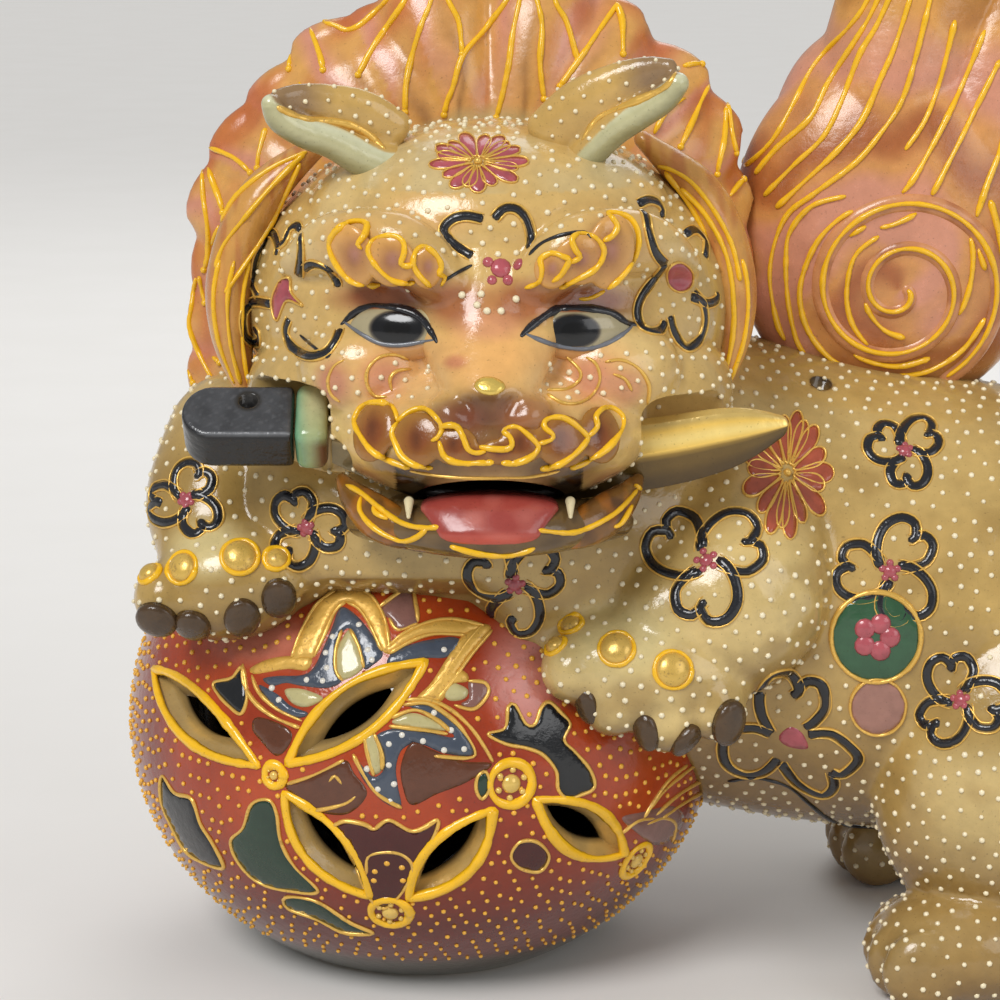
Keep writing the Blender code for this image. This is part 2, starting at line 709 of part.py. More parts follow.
def make_mane(head, body, ears):
    """The flame fan behind the head: crest and two flanks, and the long locks in front of it."""
    material = glaze("mane_orange_glaze", (0.62, 0.28, 0.12), 0.28)
    crest_locks = [(-36.0, 0.87, 1.0), (-23.0, 0.83, 1.0), (-10.0, 0.96, 1.0), (9.0, 0.95, -1.0), (25.0, 0.86, -1.0)]
    left_locks = [(-50.0, 0.87, 1.0), (-63.0, 0.90, 1.0), (-76.0, 0.92, 1.0), (-90.0, 0.90, 0.5), (-103.0, 0.94, 0.5),
                  (-114.0, 1.00, 0.5)]
    right_locks = [(43.0, 0.85, -1.0), (56.0, 0.84, -1.0), (71.0, 0.79, -1.0), (87.0, 0.78, -0.5), (103.0, 0.79, -0.5),
                   (117.0, 0.86, -0.5)]
    crest = mane_part("mane_crest", crest_locks, material, 380, (head, body, *ears))
    left = mane_part("mane_left", left_locks, material, 370, (head, body, *ears, crest))
    right = mane_part("mane_right", right_locks, material, 370, (head, body, *ears, crest))
    locks = []
    ochre = glaze("lock_ochre_glaze", (0.60, 0.40, 0.10), 0.28)
    for word, side in (("left", -1.0), ("right", 1.0)):
        rows = []
        for out, up, depth, width in ((0.72, 0.78, -0.20, 0.35), (0.94, 0.50, -0.18, 0.95), (1.05, 0.14, -0.18, 1.10),
                                      (1.05, -0.18, -0.22, 0.90), (0.98, -0.50, -0.28, 0.30)):
            offset = Vector((side * head_half_width * out, head_half_depth * depth, head_half_height * up))
            spot = head_centre + offset
            rows.append((*spot, side_lock_radius * width, side_lock_radius * 1.2 * width))
        bm = bmesh.new()
        add_sweep(bm, rows, sides=8, steps=1)
        lock = place("side_lock_" + word, bm, ochre)
        seat(lock, head, body, *ears, crest, left if side < 0 else right)
        locks.append(lock)
    nape = make_nape(material, (head, body, crest, left, right))
    return [crest, left, right, nape, *locks]


def make_nape(material, neighbours):
    """The hair down the back of the head and neck, in broad downward locks."""
    bm = bmesh.new()
    back = head_centre.y + head_half_depth * 0.62
    add_egg(bm, (head_centre.x, back, head_centre.z + head_half_height * 0.1),
            (head_half_width * 0.84, nape_thickness, head_half_height * 1.02))
    for step in range(-2, 3):
        rows = []
        for fan, out, up, wide, thick in ((0.30, 0.60, 0.34, 1.00, 0.50), (0.32, 0.95, -0.34, 0.94, 0.45),
                                          (0.36, 0.70, -1.02 + 0.10 * abs(step), 0.40, 0.22)):
            rows.append((head_centre.x + step * head_half_width * fan, back + nape_thickness * out,
                         head_centre.z + head_half_height * up, lock_radius * wide, nape_thickness * thick))
        add_sweep(bm, rows)
    nape = mould("mane_nape", bm, material, 0.0018, 260, 3)
    seat(nape, *neighbours)
    return nape


def make_tail(body, neighbours):
    """The flame plume: a round swirl at its foot and pointed flames rising from it."""
    material = glaze("tail_orange_glaze", (0.60, 0.26, 0.14), 0.26)
    foot = ball_top + tail_radius * 1.18
    rise = tail_height - foot
    bm = bmesh.new()
    add_egg(bm, (tail_x, tail_depth, foot + tail_radius * 0.30),
            (tail_radius * 1.05, tail_thickness / 2, tail_radius * 1.22))
    flames = [(-0.34, 0.10, 0.46, 1.00, 0.58, -0.4), (-0.52, 0.10, -0.10, 0.72, 0.46, 1.6),
              (0.10, 0.05, 0.86, 0.78, 0.46, -1.6), (0.45, 0.00, 1.04, 0.46, 0.40, 1.6)]
    for start_x, start_z, end_x, end_z, size, bow in flames:
        start = (tail_x + tail_radius * start_x, foot + rise * start_z)
        end = (tail_x + tail_radius * end_x, foot + rise * end_z)
        add_lock(bm, start, end, tail_radius * size, mane_sway * bow, tail_depth, tail_thickness * 0.86)
    tail = mould("tail", bm, material, 0.0016, 440, 3)
    seat(tail, body, *neighbours)
    return tail


def make_tail_curl(tail, body):
    """The swirl on the plume's front: one tapering roll wound inwards."""
    material = glaze("swirl_yellow_glaze", (0.72, 0.45, 0.12), 0.25)
    tree = surface_of(tail)
    centre = Vector((tail_x, 0.0, ball_top + tail_radius * 1.14))
    count = int(round(swirl_turns * 11))
    rows = []
    for step in range(count + 1):
        t = step / count
        turn = math.radians(-60.0) + 2 * math.pi * swirl_turns * t
        reach = swirl_radius * (1.0 - t) + swirl_roll * 0.6
        x = centre.x + reach * math.cos(turn)
        z = centre.z + reach * math.sin(turn)
        spot, normal = on_surface(tree, (x, -1.0, z), (x, 0.0, z))
        size = swirl_roll * (1.0 - 0.35 * t)
        rows.append((spot.x, spot.y + size * 0.15, spot.z, size, size * 0.9))
    bm = bmesh.new()
    add_sweep(bm, rows, sides=6, steps=1)
    curl = place("tail_curl", bm, material)
    seat(curl, tail, body)
    return curl


def make_blade():
    """The blade: a ridged bar that rises gently to a rounded point."""
    material = glaze("blade_gold", (0.75, 0.52, 0.18), 0.25, 1.0)
    tang = grip_end + grip_length + collar_length
    run = blade_reach - head_centre.x
    rows = [(tang + seat_gap, 0.0, 0.62), (tang + blade_height * 0.8, -0.20, 0.85), (head_centre.x, -0.41, 0.95),
            (head_centre.x + 0.5 * run, -0.20, 1.00), (head_centre.x + 0.8 * run, 0.03, 0.86),
            (head_centre.x + 0.97 * run, 0.19, 0.34)]
    bm = bmesh.new()
    loops = []
    for x, climb, size in smooth_stations(rows, 3):
        half = blade_height / 2 * size
        thick = blade_thickness / 2 * min(1.0, size + 0.15)
        centre = Vector((x, -dagger_depth, dagger_rise + blade_height * climb))
        section = [(0.0, 1.0), (-0.75, 0.72), (-1.0, 0.10), (0.0, -1.0), (1.0, 0.10), (0.75, 0.72)]
        loops.append([bm.verts.new(centre + Vector((0.0, thick * a, half * b))) for a, b in section])
    for lower, upper in zip(loops, loops[1:]):
        for step in range(6):
            after = (step + 1) % 6
            bm.faces.new((lower[step], lower[after], upper[after], upper[step]))
    bm.faces.new(loops[0])
    point = bm.verts.new((blade_reach, -dagger_depth, dagger_rise + blade_height * 0.22))
    for step in range(6):
        bm.faces.new((loops[-1][step], loops[-1][(step + 1) % 6], point))
    return place("dagger_blade", bm, material)


def rounded_block(bm, centre, size, rounding, segments):
    """A box with rounded edges."""
    bmesh.ops.create_cube(bm, size=1.0, matrix=Matrix.Translation(centre) @ Matrix.Diagonal((*size, 1.0)))
    bmesh.ops.bevel(bm, geom=bm.edges[:], offset=rounding, offset_type="OFFSET", segments=segments, profile=0.5,
                    affect="EDGES")


def make_grip(level, material):
    """The grip: a flat-sided bar with a round butt, and the peg hole sunk in its top."""
    half = grip_height / 2
    bm = bmesh.new()
    outline = []
    for step in range(9):
        turn = math.radians(90.0 + 180.0 * step / 8)
        outline.append((grip_end + half * 0.85 * (1.0 + math.cos(turn)), level + half * math.sin(turn)))
    outline.append((grip_end + grip_length - seat_gap, level - half))
    outline.append((grip_end + grip_length - seat_gap, level + half))
    near = [bm.verts.new((x, -dagger_depth - grip_thickness / 2, z)) for x, z in outline]
    face = bm.faces.new(near)
    pushed = bmesh.ops.extrude_face_region(bm, geom=[face])
    bmesh.ops.translate(bm, vec=(0.0, grip_thickness, 0.0),
                        verts=[part for part in pushed["geom"] if isinstance(part, bmesh.types.BMVert)])
    rims = [edge for edge in bm.edges if abs(edge.verts[0].co.y - edge.verts[1].co.y) < 1e-6]
    bmesh.ops.bevel(bm, geom=rims, offset=grip_thickness * 0.2, offset_type="OFFSET", segments=2, profile=0.5,
                    affect="EDGES")
    grip = place("dagger_grip", bm, material)
    bm = bmesh.new()
    top = Vector((grip_end + grip_length * 0.56, -dagger_depth, level + half))
    bmesh.ops.create_cone(bm, cap_ends=True, segments=12, radius1=peg_hole_diameter / 2, radius2=peg_hole_diameter / 2,
                          depth=2 * peg_hole_depth, matrix=Matrix.Translation(top))
    carve(grip, place("cutter", bm, material))
    keep_main_body(grip)
    return grip


def make_hilt():
    """The grip, and the collar between grip and blade."""
    lacquer = glaze("grip_black_glaze", (0.02, 0.02, 0.025), 0.12)
    celadon = glaze("collar_celadon_glaze", (0.40, 0.55, 0.40), 0.2)
    level = dagger_rise + blade_height * 0.2
    grip = make_grip(level, lacquer)
    bm = bmesh.new()
    centre = Vector((grip_end + grip_length + collar_length / 2, -dagger_depth, level))
    rounded_block(bm, centre, (collar_length - seat_gap, collar_thickness, collar_height), collar_length * 0.3, 2)
    collar = place("dagger_collar", bm, celadon)
    return grip, collar


def make_foreleg(name, stations, neighbours):
    """A foreleg from the shoulder to the wrist, cut to lie on the ball and against the chest."""
    material = glaze(name + "_glaze", (0.52, 0.38, 0.21), 0.35)
    bm = bmesh.new()
    add_sweep(bm, stations, sides=16, steps=3)
    leg = mould(name, bm, material, 0.0018, 220, 3)
    seat(leg, *neighbours)
    return leg


def make_paw(name, centre, width, tilt, toes, neighbours):
    """A forepaw with four toes along its lower edge; a toe is (x, z) beside the paw's centre."""
    material = glaze(name + "_glaze", (0.55, 0.42, 0.24), 0.3)
    bm = bmesh.new()
    add_egg(bm, centre, (width * 0.50, paw_thickness * 0.55, paw_thickness * 0.56), (0.0, tilt, 0.0))
    for x, z in toes:
        add_egg(bm, centre + Vector((x * width, -paw_thickness * 0.18, z * width)),
                (toe_radius * 1.02, toe_radius * 1.15, toe_radius * 1.1), fineness=2)
    paw = mould(name, bm, material, 0.0013, 280, 2)
    seat(paw, *neighbours)
    return paw


def add_dome(bm, spot, normal, half_width, half_length, rise, sides=8):
    """An oval dome standing on a surface, its foot sunk below it and its length running upright."""
    frame = normal.to_track_quat("Z", "Y").to_matrix()
    loops = []
    for level, size in ((-rise * 0.9, 1.0), (rise * 0.35, 0.93), (rise * 0.85, 0.55)):
        loop = []
        for side in range(sides):
            turn = 2 * math.pi * side / sides
            offset = Vector((half_width * size * math.cos(turn), half_length * size * math.sin(turn), level))
            loop.append(bm.verts.new(spot + frame @ offset))
        loops.append(loop)
    top = bm.verts.new(spot + frame @ Vector((0.0, 0.0, rise)))
    bm.faces.new(loops[0])
    for lower, upper in zip(loops, loops[1:]):
        for side in range(sides):
            after = (side + 1) % sides
            bm.faces.new((lower[side], lower[after], upper[after], upper[side]))
    for side in range(sides):
        bm.faces.new((loops[-1][side], loops[-1][(side + 1) % sides], top))


def make_bosses(word, paw, centre, width, spots, neighbours):
    """The gilded domes on the knuckles; a spot is (x, z, size) beside the paw's centre."""
    gold = glaze("boss_gold_" + word, (0.72, 0.50, 0.15), 0.3, 0.6)
    tree = surface_of(paw)
    made = []
    for index, (x, z, size) in enumerate(spots, 1):
        knuckle = centre + Vector((x * width, 0.0, z * width))
        spot, normal = on_surface(tree, knuckle + Vector((x * 1.2, -5.0, 1.0)) * width, knuckle)
        bm = bmesh.new()
        add_dome(bm, spot, normal, boss_radius * size, boss_radius * size, boss_rise)
        boss = place(f"boss_{word}_{index}", bm, gold)
        seat(boss, paw, *made, *neighbours)
        made.append(boss)
    return made


def make_claws(word, paw, centre, width, spots, neighbours):
    """The dark rounded claws at the toes' ends; a spot is (x, z) beside the paw's centre."""
    horn = glaze("claw_brown_" + word, (0.16, 0.09, 0.05), 0.3)
    tree = surface_of(paw)
    made = []
    for index, (x, z) in enumerate(spots, 1):
        end = centre + Vector((x * width, -paw_thickness * 0.18, z * width))
        spot, normal = on_surface(tree, end + Vector((x * 1.5, -5.0, -1.2)) * width, end)
        bm = bmesh.new()
        add_dome(bm, spot, normal, claw_width / 2, claw_length / 2, claw_thickness / 2)
        claw = place(f"claw_{word}_{index}", bm, horn)
        seat(claw, paw, *made, *neighbours)
        made.append(claw)
    return made


def make_forelimbs(ball, body, head, dagger, mane):
    """Both forelegs with their paws, bosses and claws."""
    grip, collar, blade = dagger
    left_centre = ball_spot(-41.5, 37.5, paw_thickness * 0.40)
    right_centre = ball_spot(42.8, 20.0, paw_thickness * 0.40)
    thick = left_arm_radius
    shoulder = Vector((-shoulder_reach + thick * 0.70, -chest_depth * 0.20, ball_top + thick * 0.35))
    left_stations = [(*shoulder, thick * 0.95, thick),
                     (*(shoulder + Vector((-0.12, -0.60, -0.60)) * thick), thick, thick * 0.95),
                     (*(left_centre + Vector((-0.12, 0.35, 0.30)) * thick), thick * 0.82, thick * 0.70)]
    thick = right_arm_radius
    right_stations = [(*(right_centre + Vector((0.82, 1.20, 1.05)) * thick), thick, thick * 1.05),
                      (*(right_centre + Vector((0.77, 0.45, 0.60)) * thick), thick * 0.92, thick * 0.90),
                      (*(right_centre + Vector((0.23, 0.23, 0.36)) * thick), thick * 0.74, thick * 0.60)]
    left_leg = make_foreleg("foreleg_left", left_stations, (ball, body, head, grip, collar, *mane))
    right_leg = make_foreleg("foreleg_right", right_stations, (ball, body, head, blade, *mane))
    left_toes = [(-0.40, -0.08), (-0.19, -0.10), (0.08, -0.05), (0.30, 0.05)]
    right_toes = [(-0.36, 0.04), (-0.17, -0.12), (0.08, -0.20), (0.31, -0.14)]
    left_paw = make_paw("forepaw_left", left_centre, left_paw_width, -10.0, left_toes, (ball, body, left_leg))
    right_paw = make_paw("forepaw_right", right_centre, right_paw_width, 10.0, right_toes, (ball, body, right_leg))
    left_bosses = make_bosses("left", left_paw, left_centre, left_paw_width,
                              [(-0.46, 0.05, 0.75), (-0.26, 0.09, 0.98), (0.08, 0.16, 1.0), (0.29, 0.14, 0.68)],
                              (body, left_leg))
    make_claws("left", left_paw, left_centre, left_paw_width,
               [(-0.42, -0.17), (-0.20, -0.20), (0.09, -0.13), (0.30, -0.03)], (ball, body, left_leg, *left_bosses))
    right_bosses = make_bosses("right", right_paw, right_centre, right_paw_width,
                               [(-0.40, 0.30, 0.70), (-0.43, 0.13, 0.75), (-0.16, 0.13, 1.0), (0.09, 0.03, 1.05)],
                               (body, right_leg))
    make_claws("right", right_paw, right_centre, right_paw_width,
               [(-0.30, -0.08), (-0.03, -0.20), (0.17, -0.27), (0.35, -0.16)], (ball, body, right_leg, *right_bosses))


def make_hind_limbs(ball, body):
    """Both thighs and their feet, flat where they stand."""
    skin = glaze("hind_tan_glaze", (0.50, 0.36, 0.20), 0.35)
    pad = glaze("hind_foot_glaze", (0.48, 0.34, 0.18), 0.35)
    for word, side in (("near", -1.0), ("far", 1.0)):
        x = hind_toe_x + hind_foot_length * 0.75
        bm = bmesh.new()
        add_egg(bm, (x, side * thigh_spread, thigh_height * 0.58),
                (thigh_length / 2, thigh_depth / 2, thigh_height * 0.46), (0.0, 16.0, 0.0))
        outer = side * (thigh_spread + shin_radius * 0.3)
        add_sweep(bm, [(x + shin_radius * 0.35, outer, thigh_height * 0.35, shin_radius, shin_radius * 0.95),
                       (x + shin_radius * 0.25, outer, shin_radius * 0.7, shin_radius * 0.82, shin_radius * 0.78)])
        leg = mould("hind_leg_" + word, bm, skin, 0.0020, 240, 3)
        cut_flat(leg)
        seat(leg, ball, body)
        heel = hind_toe_x + hind_foot_length - hind_foot_width * 0.4
        toe = hind_toe_x + hind_foot_width * 0.4
        across = side * (thigh_spread + shin_radius * 0.6)
        bm = bmesh.new()
        add_sweep(bm, [(heel, across, hind_foot_height * 0.42, hind_foot_width * 0.40, hind_foot_height * 0.46),
                       ((heel + toe) / 2, across, hind_foot_height * 0.44, hind_foot_width * 0.46, hind_foot_height * 0.50),
                       (toe, across, hind_foot_height * 0.40, hind_foot_width * 0.48, hind_foot_height * 0.44)],
                  across=(0.0, 0.0, 1.0))
        for step in range(4):
            spread = (step - 1.5) * hind_foot_width * 0.235
            length = hind_foot_width * 0.25
            add_egg(bm, (hind_toe_x + length * (1.0 + abs(step - 1.5) * 0.26), across + spread, hind_foot_height * 0.36),
                    (length, hind_foot_width * 0.13, hind_foot_height * 0.36), fineness=2)
        foot = mould("hind_foot_" + word, bm, pad, 0.0014, 260, 2)
        cut_flat(foot)
        seat(foot, ball, body, leg)


def make_figure():
    """Builds every piece; each is cut back from those made before it."""
    make_ball()
    ball = make_ball_blank()
    blade = make_blade()
    head = make_head()
    seat(head, ball, blade)
    body = make_body(ball, head)
    grip, collar = make_hilt()
    seat(collar, blade)
    seat(head, grip, collar)
    jaw = make_jaw()
    seat(jaw, head, body, blade)
    tongue = make_tongue(head, jaw)
    make_fangs(head, jaw, tongue)
    make_eyes(head)
    make_face_reliefs(head, jaw, (grip, collar, blade), body)
    ears = make_ears(head)
    mane = make_mane(head, body, ears)
    tail = make_tail(body, mane)
    make_tail_curl(tail, body)
    make_forelimbs(ball, body, head, (grip, collar, blade), mane)
    make_hind_limbs(ball, body)
    bpy.data.objects.remove(ball, do_unlink=True)


make_figure()
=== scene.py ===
import math

import bmesh
import bpy
import numpy as np
from mathutils import Matrix, Vector
from mathutils.bvhtree import BVHTree
from mathutils.geometry import delaunay_2d_cdt
from mathutils.kdtree import KDTree


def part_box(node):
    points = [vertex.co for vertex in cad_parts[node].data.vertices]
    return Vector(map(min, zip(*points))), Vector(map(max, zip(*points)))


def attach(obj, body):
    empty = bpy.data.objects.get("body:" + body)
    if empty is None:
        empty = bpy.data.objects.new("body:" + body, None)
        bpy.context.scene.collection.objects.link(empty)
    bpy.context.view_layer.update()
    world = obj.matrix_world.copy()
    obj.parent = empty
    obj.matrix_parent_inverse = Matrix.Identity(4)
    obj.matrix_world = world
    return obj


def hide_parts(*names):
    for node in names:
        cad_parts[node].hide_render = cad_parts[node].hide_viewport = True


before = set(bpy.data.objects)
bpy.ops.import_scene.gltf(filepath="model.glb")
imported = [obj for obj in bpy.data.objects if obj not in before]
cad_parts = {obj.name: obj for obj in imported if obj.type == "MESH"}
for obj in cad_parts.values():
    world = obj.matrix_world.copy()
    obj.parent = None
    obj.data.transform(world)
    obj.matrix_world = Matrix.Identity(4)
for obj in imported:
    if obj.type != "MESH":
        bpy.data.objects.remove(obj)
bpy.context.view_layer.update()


# The lens stands where the photographer's stood: level with the mane and looking a little down on the
# figure. A stroke that is named by its pixels in the photograph is laid along this lens's rays, on
# whatever skin they meet, so it lies on the clay from every side.
bpy.ops.object.select_all(action="DESELECT")
bpy.context.scene.view_settings.view_transform = "Standard"
picture_side = 1000.0
lens_place = np.array([0.0165, -0.6750, 0.2412])
lens_dip = math.radians(12.0)
figure_distance = 0.62
lens_length = 114.545
film_width = 36.0
lens_reach = lens_length / film_width * picture_side
lens_right = np.array([1.0, 0.0, 0.0])
lens_up = np.array([0.0, math.sin(lens_dip), math.cos(lens_dip)])
lens_ahead = np.array([0.0, math.cos(lens_dip), -math.sin(lens_dip)])
bpy.ops.object.camera_add(location=lens_place, rotation=(math.pi / 2 - lens_dip, 0.0, 0.0))
lens = bpy.context.object
lens.name = "lens"
lens.data.lens = lens_length
lens.data.sensor_width = film_width
lens.data.clip_start = 0.05
bpy.context.scene.camera = lens


def lens_ray(x, y):
    """The direction in which the lens sees a pixel."""
    aside, climb = x - picture_side / 2, picture_side / 2 - y
    return Vector(lens_right * aside / lens_reach + lens_up * climb / lens_reach + lens_ahead).normalized()


# The table is a plain pale board that catches the figure's shadow. A broad sun stands high on the
# left, two soft lamps fill the right side and the back, and the room behind is pale.
class Tone:
    """One socket of a recipe, so that layers of glaze are written as sums."""

    def __init__(self, tree, socket):
        self.tree = tree
        self.socket = socket

    def reckon(self, operation, other, turned=False):
        node = self.tree.nodes.new("ShaderNodeMath")
        node.operation = operation
        for entry, value in zip(node.inputs, (other, self) if turned else (self, other)):
            if isinstance(value, Tone):
                self.tree.links.new(value.socket, entry)
            else:
                entry.default_value = value
        return Tone(self.tree, node.outputs[0])

    def __add__(self, other):
        return self.reckon("ADD", other)

    def __sub__(self, other):
        return self.reckon("SUBTRACT", other)

    def __rsub__(self, other):
        return self.reckon("SUBTRACT", other, True)

    def __mul__(self, other):
        return self.reckon("MULTIPLY", other)

    __radd__ = __add__
    __rmul__ = __mul__

    def held(self):
        return self.reckon("MAXIMUM", 0.0).reckon("MINIMUM", 1.0)


class Recipe:
    """A finish written down node by node: the kind first, then its settings, then what flows in."""

    def __init__(self, holder):
        holder.use_nodes = True
        self.tree = holder.node_tree
        self.tree.nodes.clear()

    def node(self, kind, settings=None, inputs=None, output=0):
        made = self.tree.nodes.new(kind)
        for key, value in (settings or {}).items():
            setattr(made, key, value)
        for key, value in (inputs or {}).items():
            if isinstance(value, Tone):
                self.tree.links.new(value.socket, made.inputs[key])
            else:
                made.inputs[key].default_value = value
        return Tone(self.tree, made.outputs[output]) if made.outputs else made

    def speckle(self, place, size, detail=3.0):
        """Soft noise whose clouds are about a size across."""
        return self.node("ShaderNodeTexNoise",
                         inputs={"Vector": place, "Scale": 1.0 / size, "Detail": detail})

    def blend(self, share, under, over):
        return self.node("ShaderNodeMix", {"data_type": "RGBA"}, {0: share, 6: under, 7: over}, 2)


def tint(code):
    """A colour written as it looks, six hexadecimal digits, in the renderer's own scale."""
    parts = [int(code[place:place + 2], 16) / 255 for place in (0, 2, 4)]
    return np.array([((part + 0.055) / 1.055) ** 2.4 if part > 0.04045 else part / 12.92 for part in parts])


def whole(code):
    return (*tint(code), 1.0)


table_width = 9.0
bpy.ops.mesh.primitive_plane_add(size=table_width)
table = bpy.context.object
table.name = "table"
paint = bpy.data.materials.new("table_paint")
recipe = Recipe(paint)
grain = recipe.speckle(recipe.node("ShaderNodeTexCoord", output="Object"), 0.05)
board = recipe.blend(grain, whole("e3e1dd"), whole("e8e6e3"))
shader = recipe.node("ShaderNodeBsdfPrincipled", inputs={"Base Color": board, "Roughness": 0.7})
recipe.node("ShaderNodeOutputMaterial", inputs={0: shader})
table.data.materials.append(paint)

room = bpy.data.worlds.new("pale_room")
bpy.context.scene.world = room
recipe = Recipe(room)
seen = recipe.node("ShaderNodeLightPath", output="Is Camera Ray")
seen = seen + recipe.node("ShaderNodeLightPath", output="Is Transmission Ray")
mirrored = recipe.node("ShaderNodeLightPath", output="Is Glossy Ray")
soft = recipe.node("ShaderNodeBackground", inputs={"Color": (1.0, 1.0, 1.0, 1.0), "Strength": 0.44})
shine = recipe.node("ShaderNodeBackground", inputs={"Color": (1.0, 1.0, 1.0, 1.0), "Strength": 0.30})
pale = recipe.node("ShaderNodeBackground", inputs={"Color": (0.90, 0.90, 0.90, 1.0), "Strength": 1.0})
lit = recipe.node("ShaderNodeMixShader", inputs={0: mirrored, 1: soft, 2: shine})
lit = recipe.node("ShaderNodeMixShader", inputs={0: seen.held(), 1: lit, 2: pale})
recipe.node("ShaderNodeOutputWorld", inputs={0: lit})

for word, kind, spot, size, power in (("key", "SUN", (-0.55, -0.95, 1.15), math.radians(26.0), 2.0),
                                      ("fill", "AREA", (0.95, -0.85, 0.60), 0.70, 3.0),
                                      ("back", "AREA", (0.20, 0.95, 0.95), 0.80, 3.5)):
    bpy.ops.object.light_add(type=kind, location=spot)
    lamp = bpy.context.object
    lamp.name = "lamp_" + word
    if kind == "SUN":
        lamp.data.angle = size
    else:
        lamp.data.size = size
    lamp.data.energy = power
    lamp.rotation_euler = (Vector((0.03, 0.0, 0.12)) - Vector(spot)).to_track_quat("-Z", "Y").to_euler()


# The ball is a hollow casting of stoneware on a flat unglazed foot. The potter cut almond slits
# through its wall, each in a wide countersink, so that they meet at knots like interlocking rings.
ball_radius = 0.0643
ball_half_height = 0.0565
ball_rise = 0.050
ball_wall = 0.0048
ball_top = 0.107
slit_length, slit_width = 0.0180, 0.0042
rim_half_width = 0.0052
knot_sizes = {"outer": 0.0, "low_left": 0.0022, "bottom": 0.0040, "low_right": 0.0044, "far": 0.0040,
              "crown": 0.0}
tip_margin = 0.0018
throat_depth = 0.0046
knots = {"outer": (-69.0, 17.0), "low_left": (-27.0, 3.0), "bottom": (-6.0, -28.0), "low_right": (17.0, 2.5),
         "far": (49.0, -22.0), "crown": (3.0, 29.0)}
slit_ties = [("outer", "low_left"), ("low_left", "crown"), ("low_left", "bottom"), ("bottom", "low_right"),
             ("low_right", "far")]
ball_centre = Vector((0.0, 0.0, ball_rise))


def fire(name, colour=None, dull=0.17, metal=0.0, mottle=0.34, relief=0.35, under="7a5426", slipped=0.5):
    """A fired finish. Without a colour it shows the enamel brushed on the piece's own points."""
    material = bpy.data.materials.new(name)
    recipe = Recipe(material)
    place = recipe.node("ShaderNodeTexCoord", output="Object")
    cloud = recipe.speckle(place, 0.013)
    pool = recipe.speckle(place, 0.0024)
    pit = recipe.speckle(place, 0.0005, 2.0)
    gilding = metal
    if colour is None:
        base = recipe.node("ShaderNodeAttribute", {"attribute_name": "enamel"}, output="Color")
        gilding = recipe.node("ShaderNodeAttribute", {"attribute_name": "enamel"}, output="Alpha")
    else:
        base = recipe.blend(pool, whole(colour), whole(colour))
    shade = 1.0 + (cloud - 0.5) * mottle + (pool - 0.5) * mottle * 0.9
    base = recipe.node("ShaderNodeVectorMath", {"operation": "SCALE"}, {0: base, "Scale": shade})
    iron = ((pit - 0.66) * 12.0).held() * 0.35
    base = recipe.blend(iron, base, whole("2a1c10"))
    if metal:
        worn = ((pool * 0.6 + pit * 0.4 - 0.55) * 9.0).held() * slipped
        base = recipe.blend(worn, base, whole(under))
        gilding = metal * (1.0 - worn)
    rough = dull + (pool - 0.5) * 0.10 + (pit - 0.5) * 0.05 + gilding * 0.14
    height = pool * 0.55 + pit * 0.10 + cloud * 0.9
    bump = recipe.node("ShaderNodeBump", inputs={"Strength": relief, "Distance": 0.0007, "Height": height})
    shader = recipe.node("ShaderNodeBsdfPrincipled", inputs={
        "Base Color": base, "Metallic": gilding, "Roughness": rough.held(), "Normal": bump, "IOR": 1.52,
        "Coat Weight": 0.18, "Coat Roughness": 0.08})
    recipe.node("ShaderNodeOutputMaterial", inputs={0: shader})
    return material


def finish_with(piece, kind, **settings):
    """Applies one modifier to a piece."""
    bpy.context.view_layer.objects.active = piece
    step = piece.modifiers.new("step", kind)
    for key, value in settings.items():
        setattr(step, key, value)
    bpy.ops.object.modifier_apply(modifier=step.name)


def drop(piece):
    mesh = piece.data
    bpy.data.objects.remove(piece, do_unlink=True)
    bpy.data.meshes.remove(mesh)


def carve(piece, cutter):
    finish_with(piece, "BOOLEAN", operation="DIFFERENCE", solver="MANIFOLD", object=cutter)
    drop(cutter)


def put_in_order(piece):
    """Gives a cut piece's faces the same order on every run, which cutting doesn't."""
    bm = bmesh.new()
    bm.from_mesh(piece.data)
    order = sorted(bm.faces, key=lambda face: sorted(vert.index for vert in face.verts))
    ranks = {face: rank for rank, face in enumerate(order)}
    bm.faces.sort(key=ranks.get)
    bm.to_mesh(piece.data)
    bm.free()


def ring_faces(rings, sides):
    """The four-cornered faces between rings of equally many points."""
    return [(ring * sides + step, ring * sides + (step + 1) % sides,
             (ring + 1) * sides + (step + 1) % sides, (ring + 1) * sides + step)
            for ring in range(rings - 1) for step in range(sides)]


def tube(name, points, sides):
    """A closed piece from rings of points, capped flat at both ends."""
    caps = [tuple(range(sides)), tuple(range(len(points) - sides, len(points)))]
    return turn_outwards(shape_of(name, points, [*caps, *ring_faces(len(points) // sides, sides)]))


def shape_of(name, points, faces):
    """A new piece from its points and faces."""
    mesh = bpy.data.meshes.new(name)
    mesh.from_pydata([tuple(point) for point in points], [], faces)
    piece = bpy.data.objects.new(name, mesh)
    bpy.context.collection.objects.link(piece)
    return piece


def turn_outwards(piece):
    """Turns a closed piece's faces outwards."""
    bm = bmesh.new()
    bm.from_mesh(piece.data)
    bmesh.ops.recalc_face_normals(bm, faces=bm.faces)
    bm.to_mesh(piece.data)
    bm.free()
    return piece


def join(lumps, name):
    bpy.ops.object.select_all(action="DESELECT")
    for lump in lumps:
        lump.select_set(True)
    bpy.context.view_layer.objects.active = lumps[0]
    if len(lumps) > 1:
        bpy.ops.object.join()
    piece = bpy.context.view_layer.objects.active
    piece.name = name
    piece.data.name = name
    piece.select_set(False)
    return piece


def set_down(piece, material, nodes=()):
    """Gives a finished piece its glaze and its place in the figure."""
    piece.data.materials.clear()
    piece.data.materials.append(material)
    piece.data.shade_smooth()
    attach(piece, "root")
    if nodes:
        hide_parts(*nodes)
    return piece


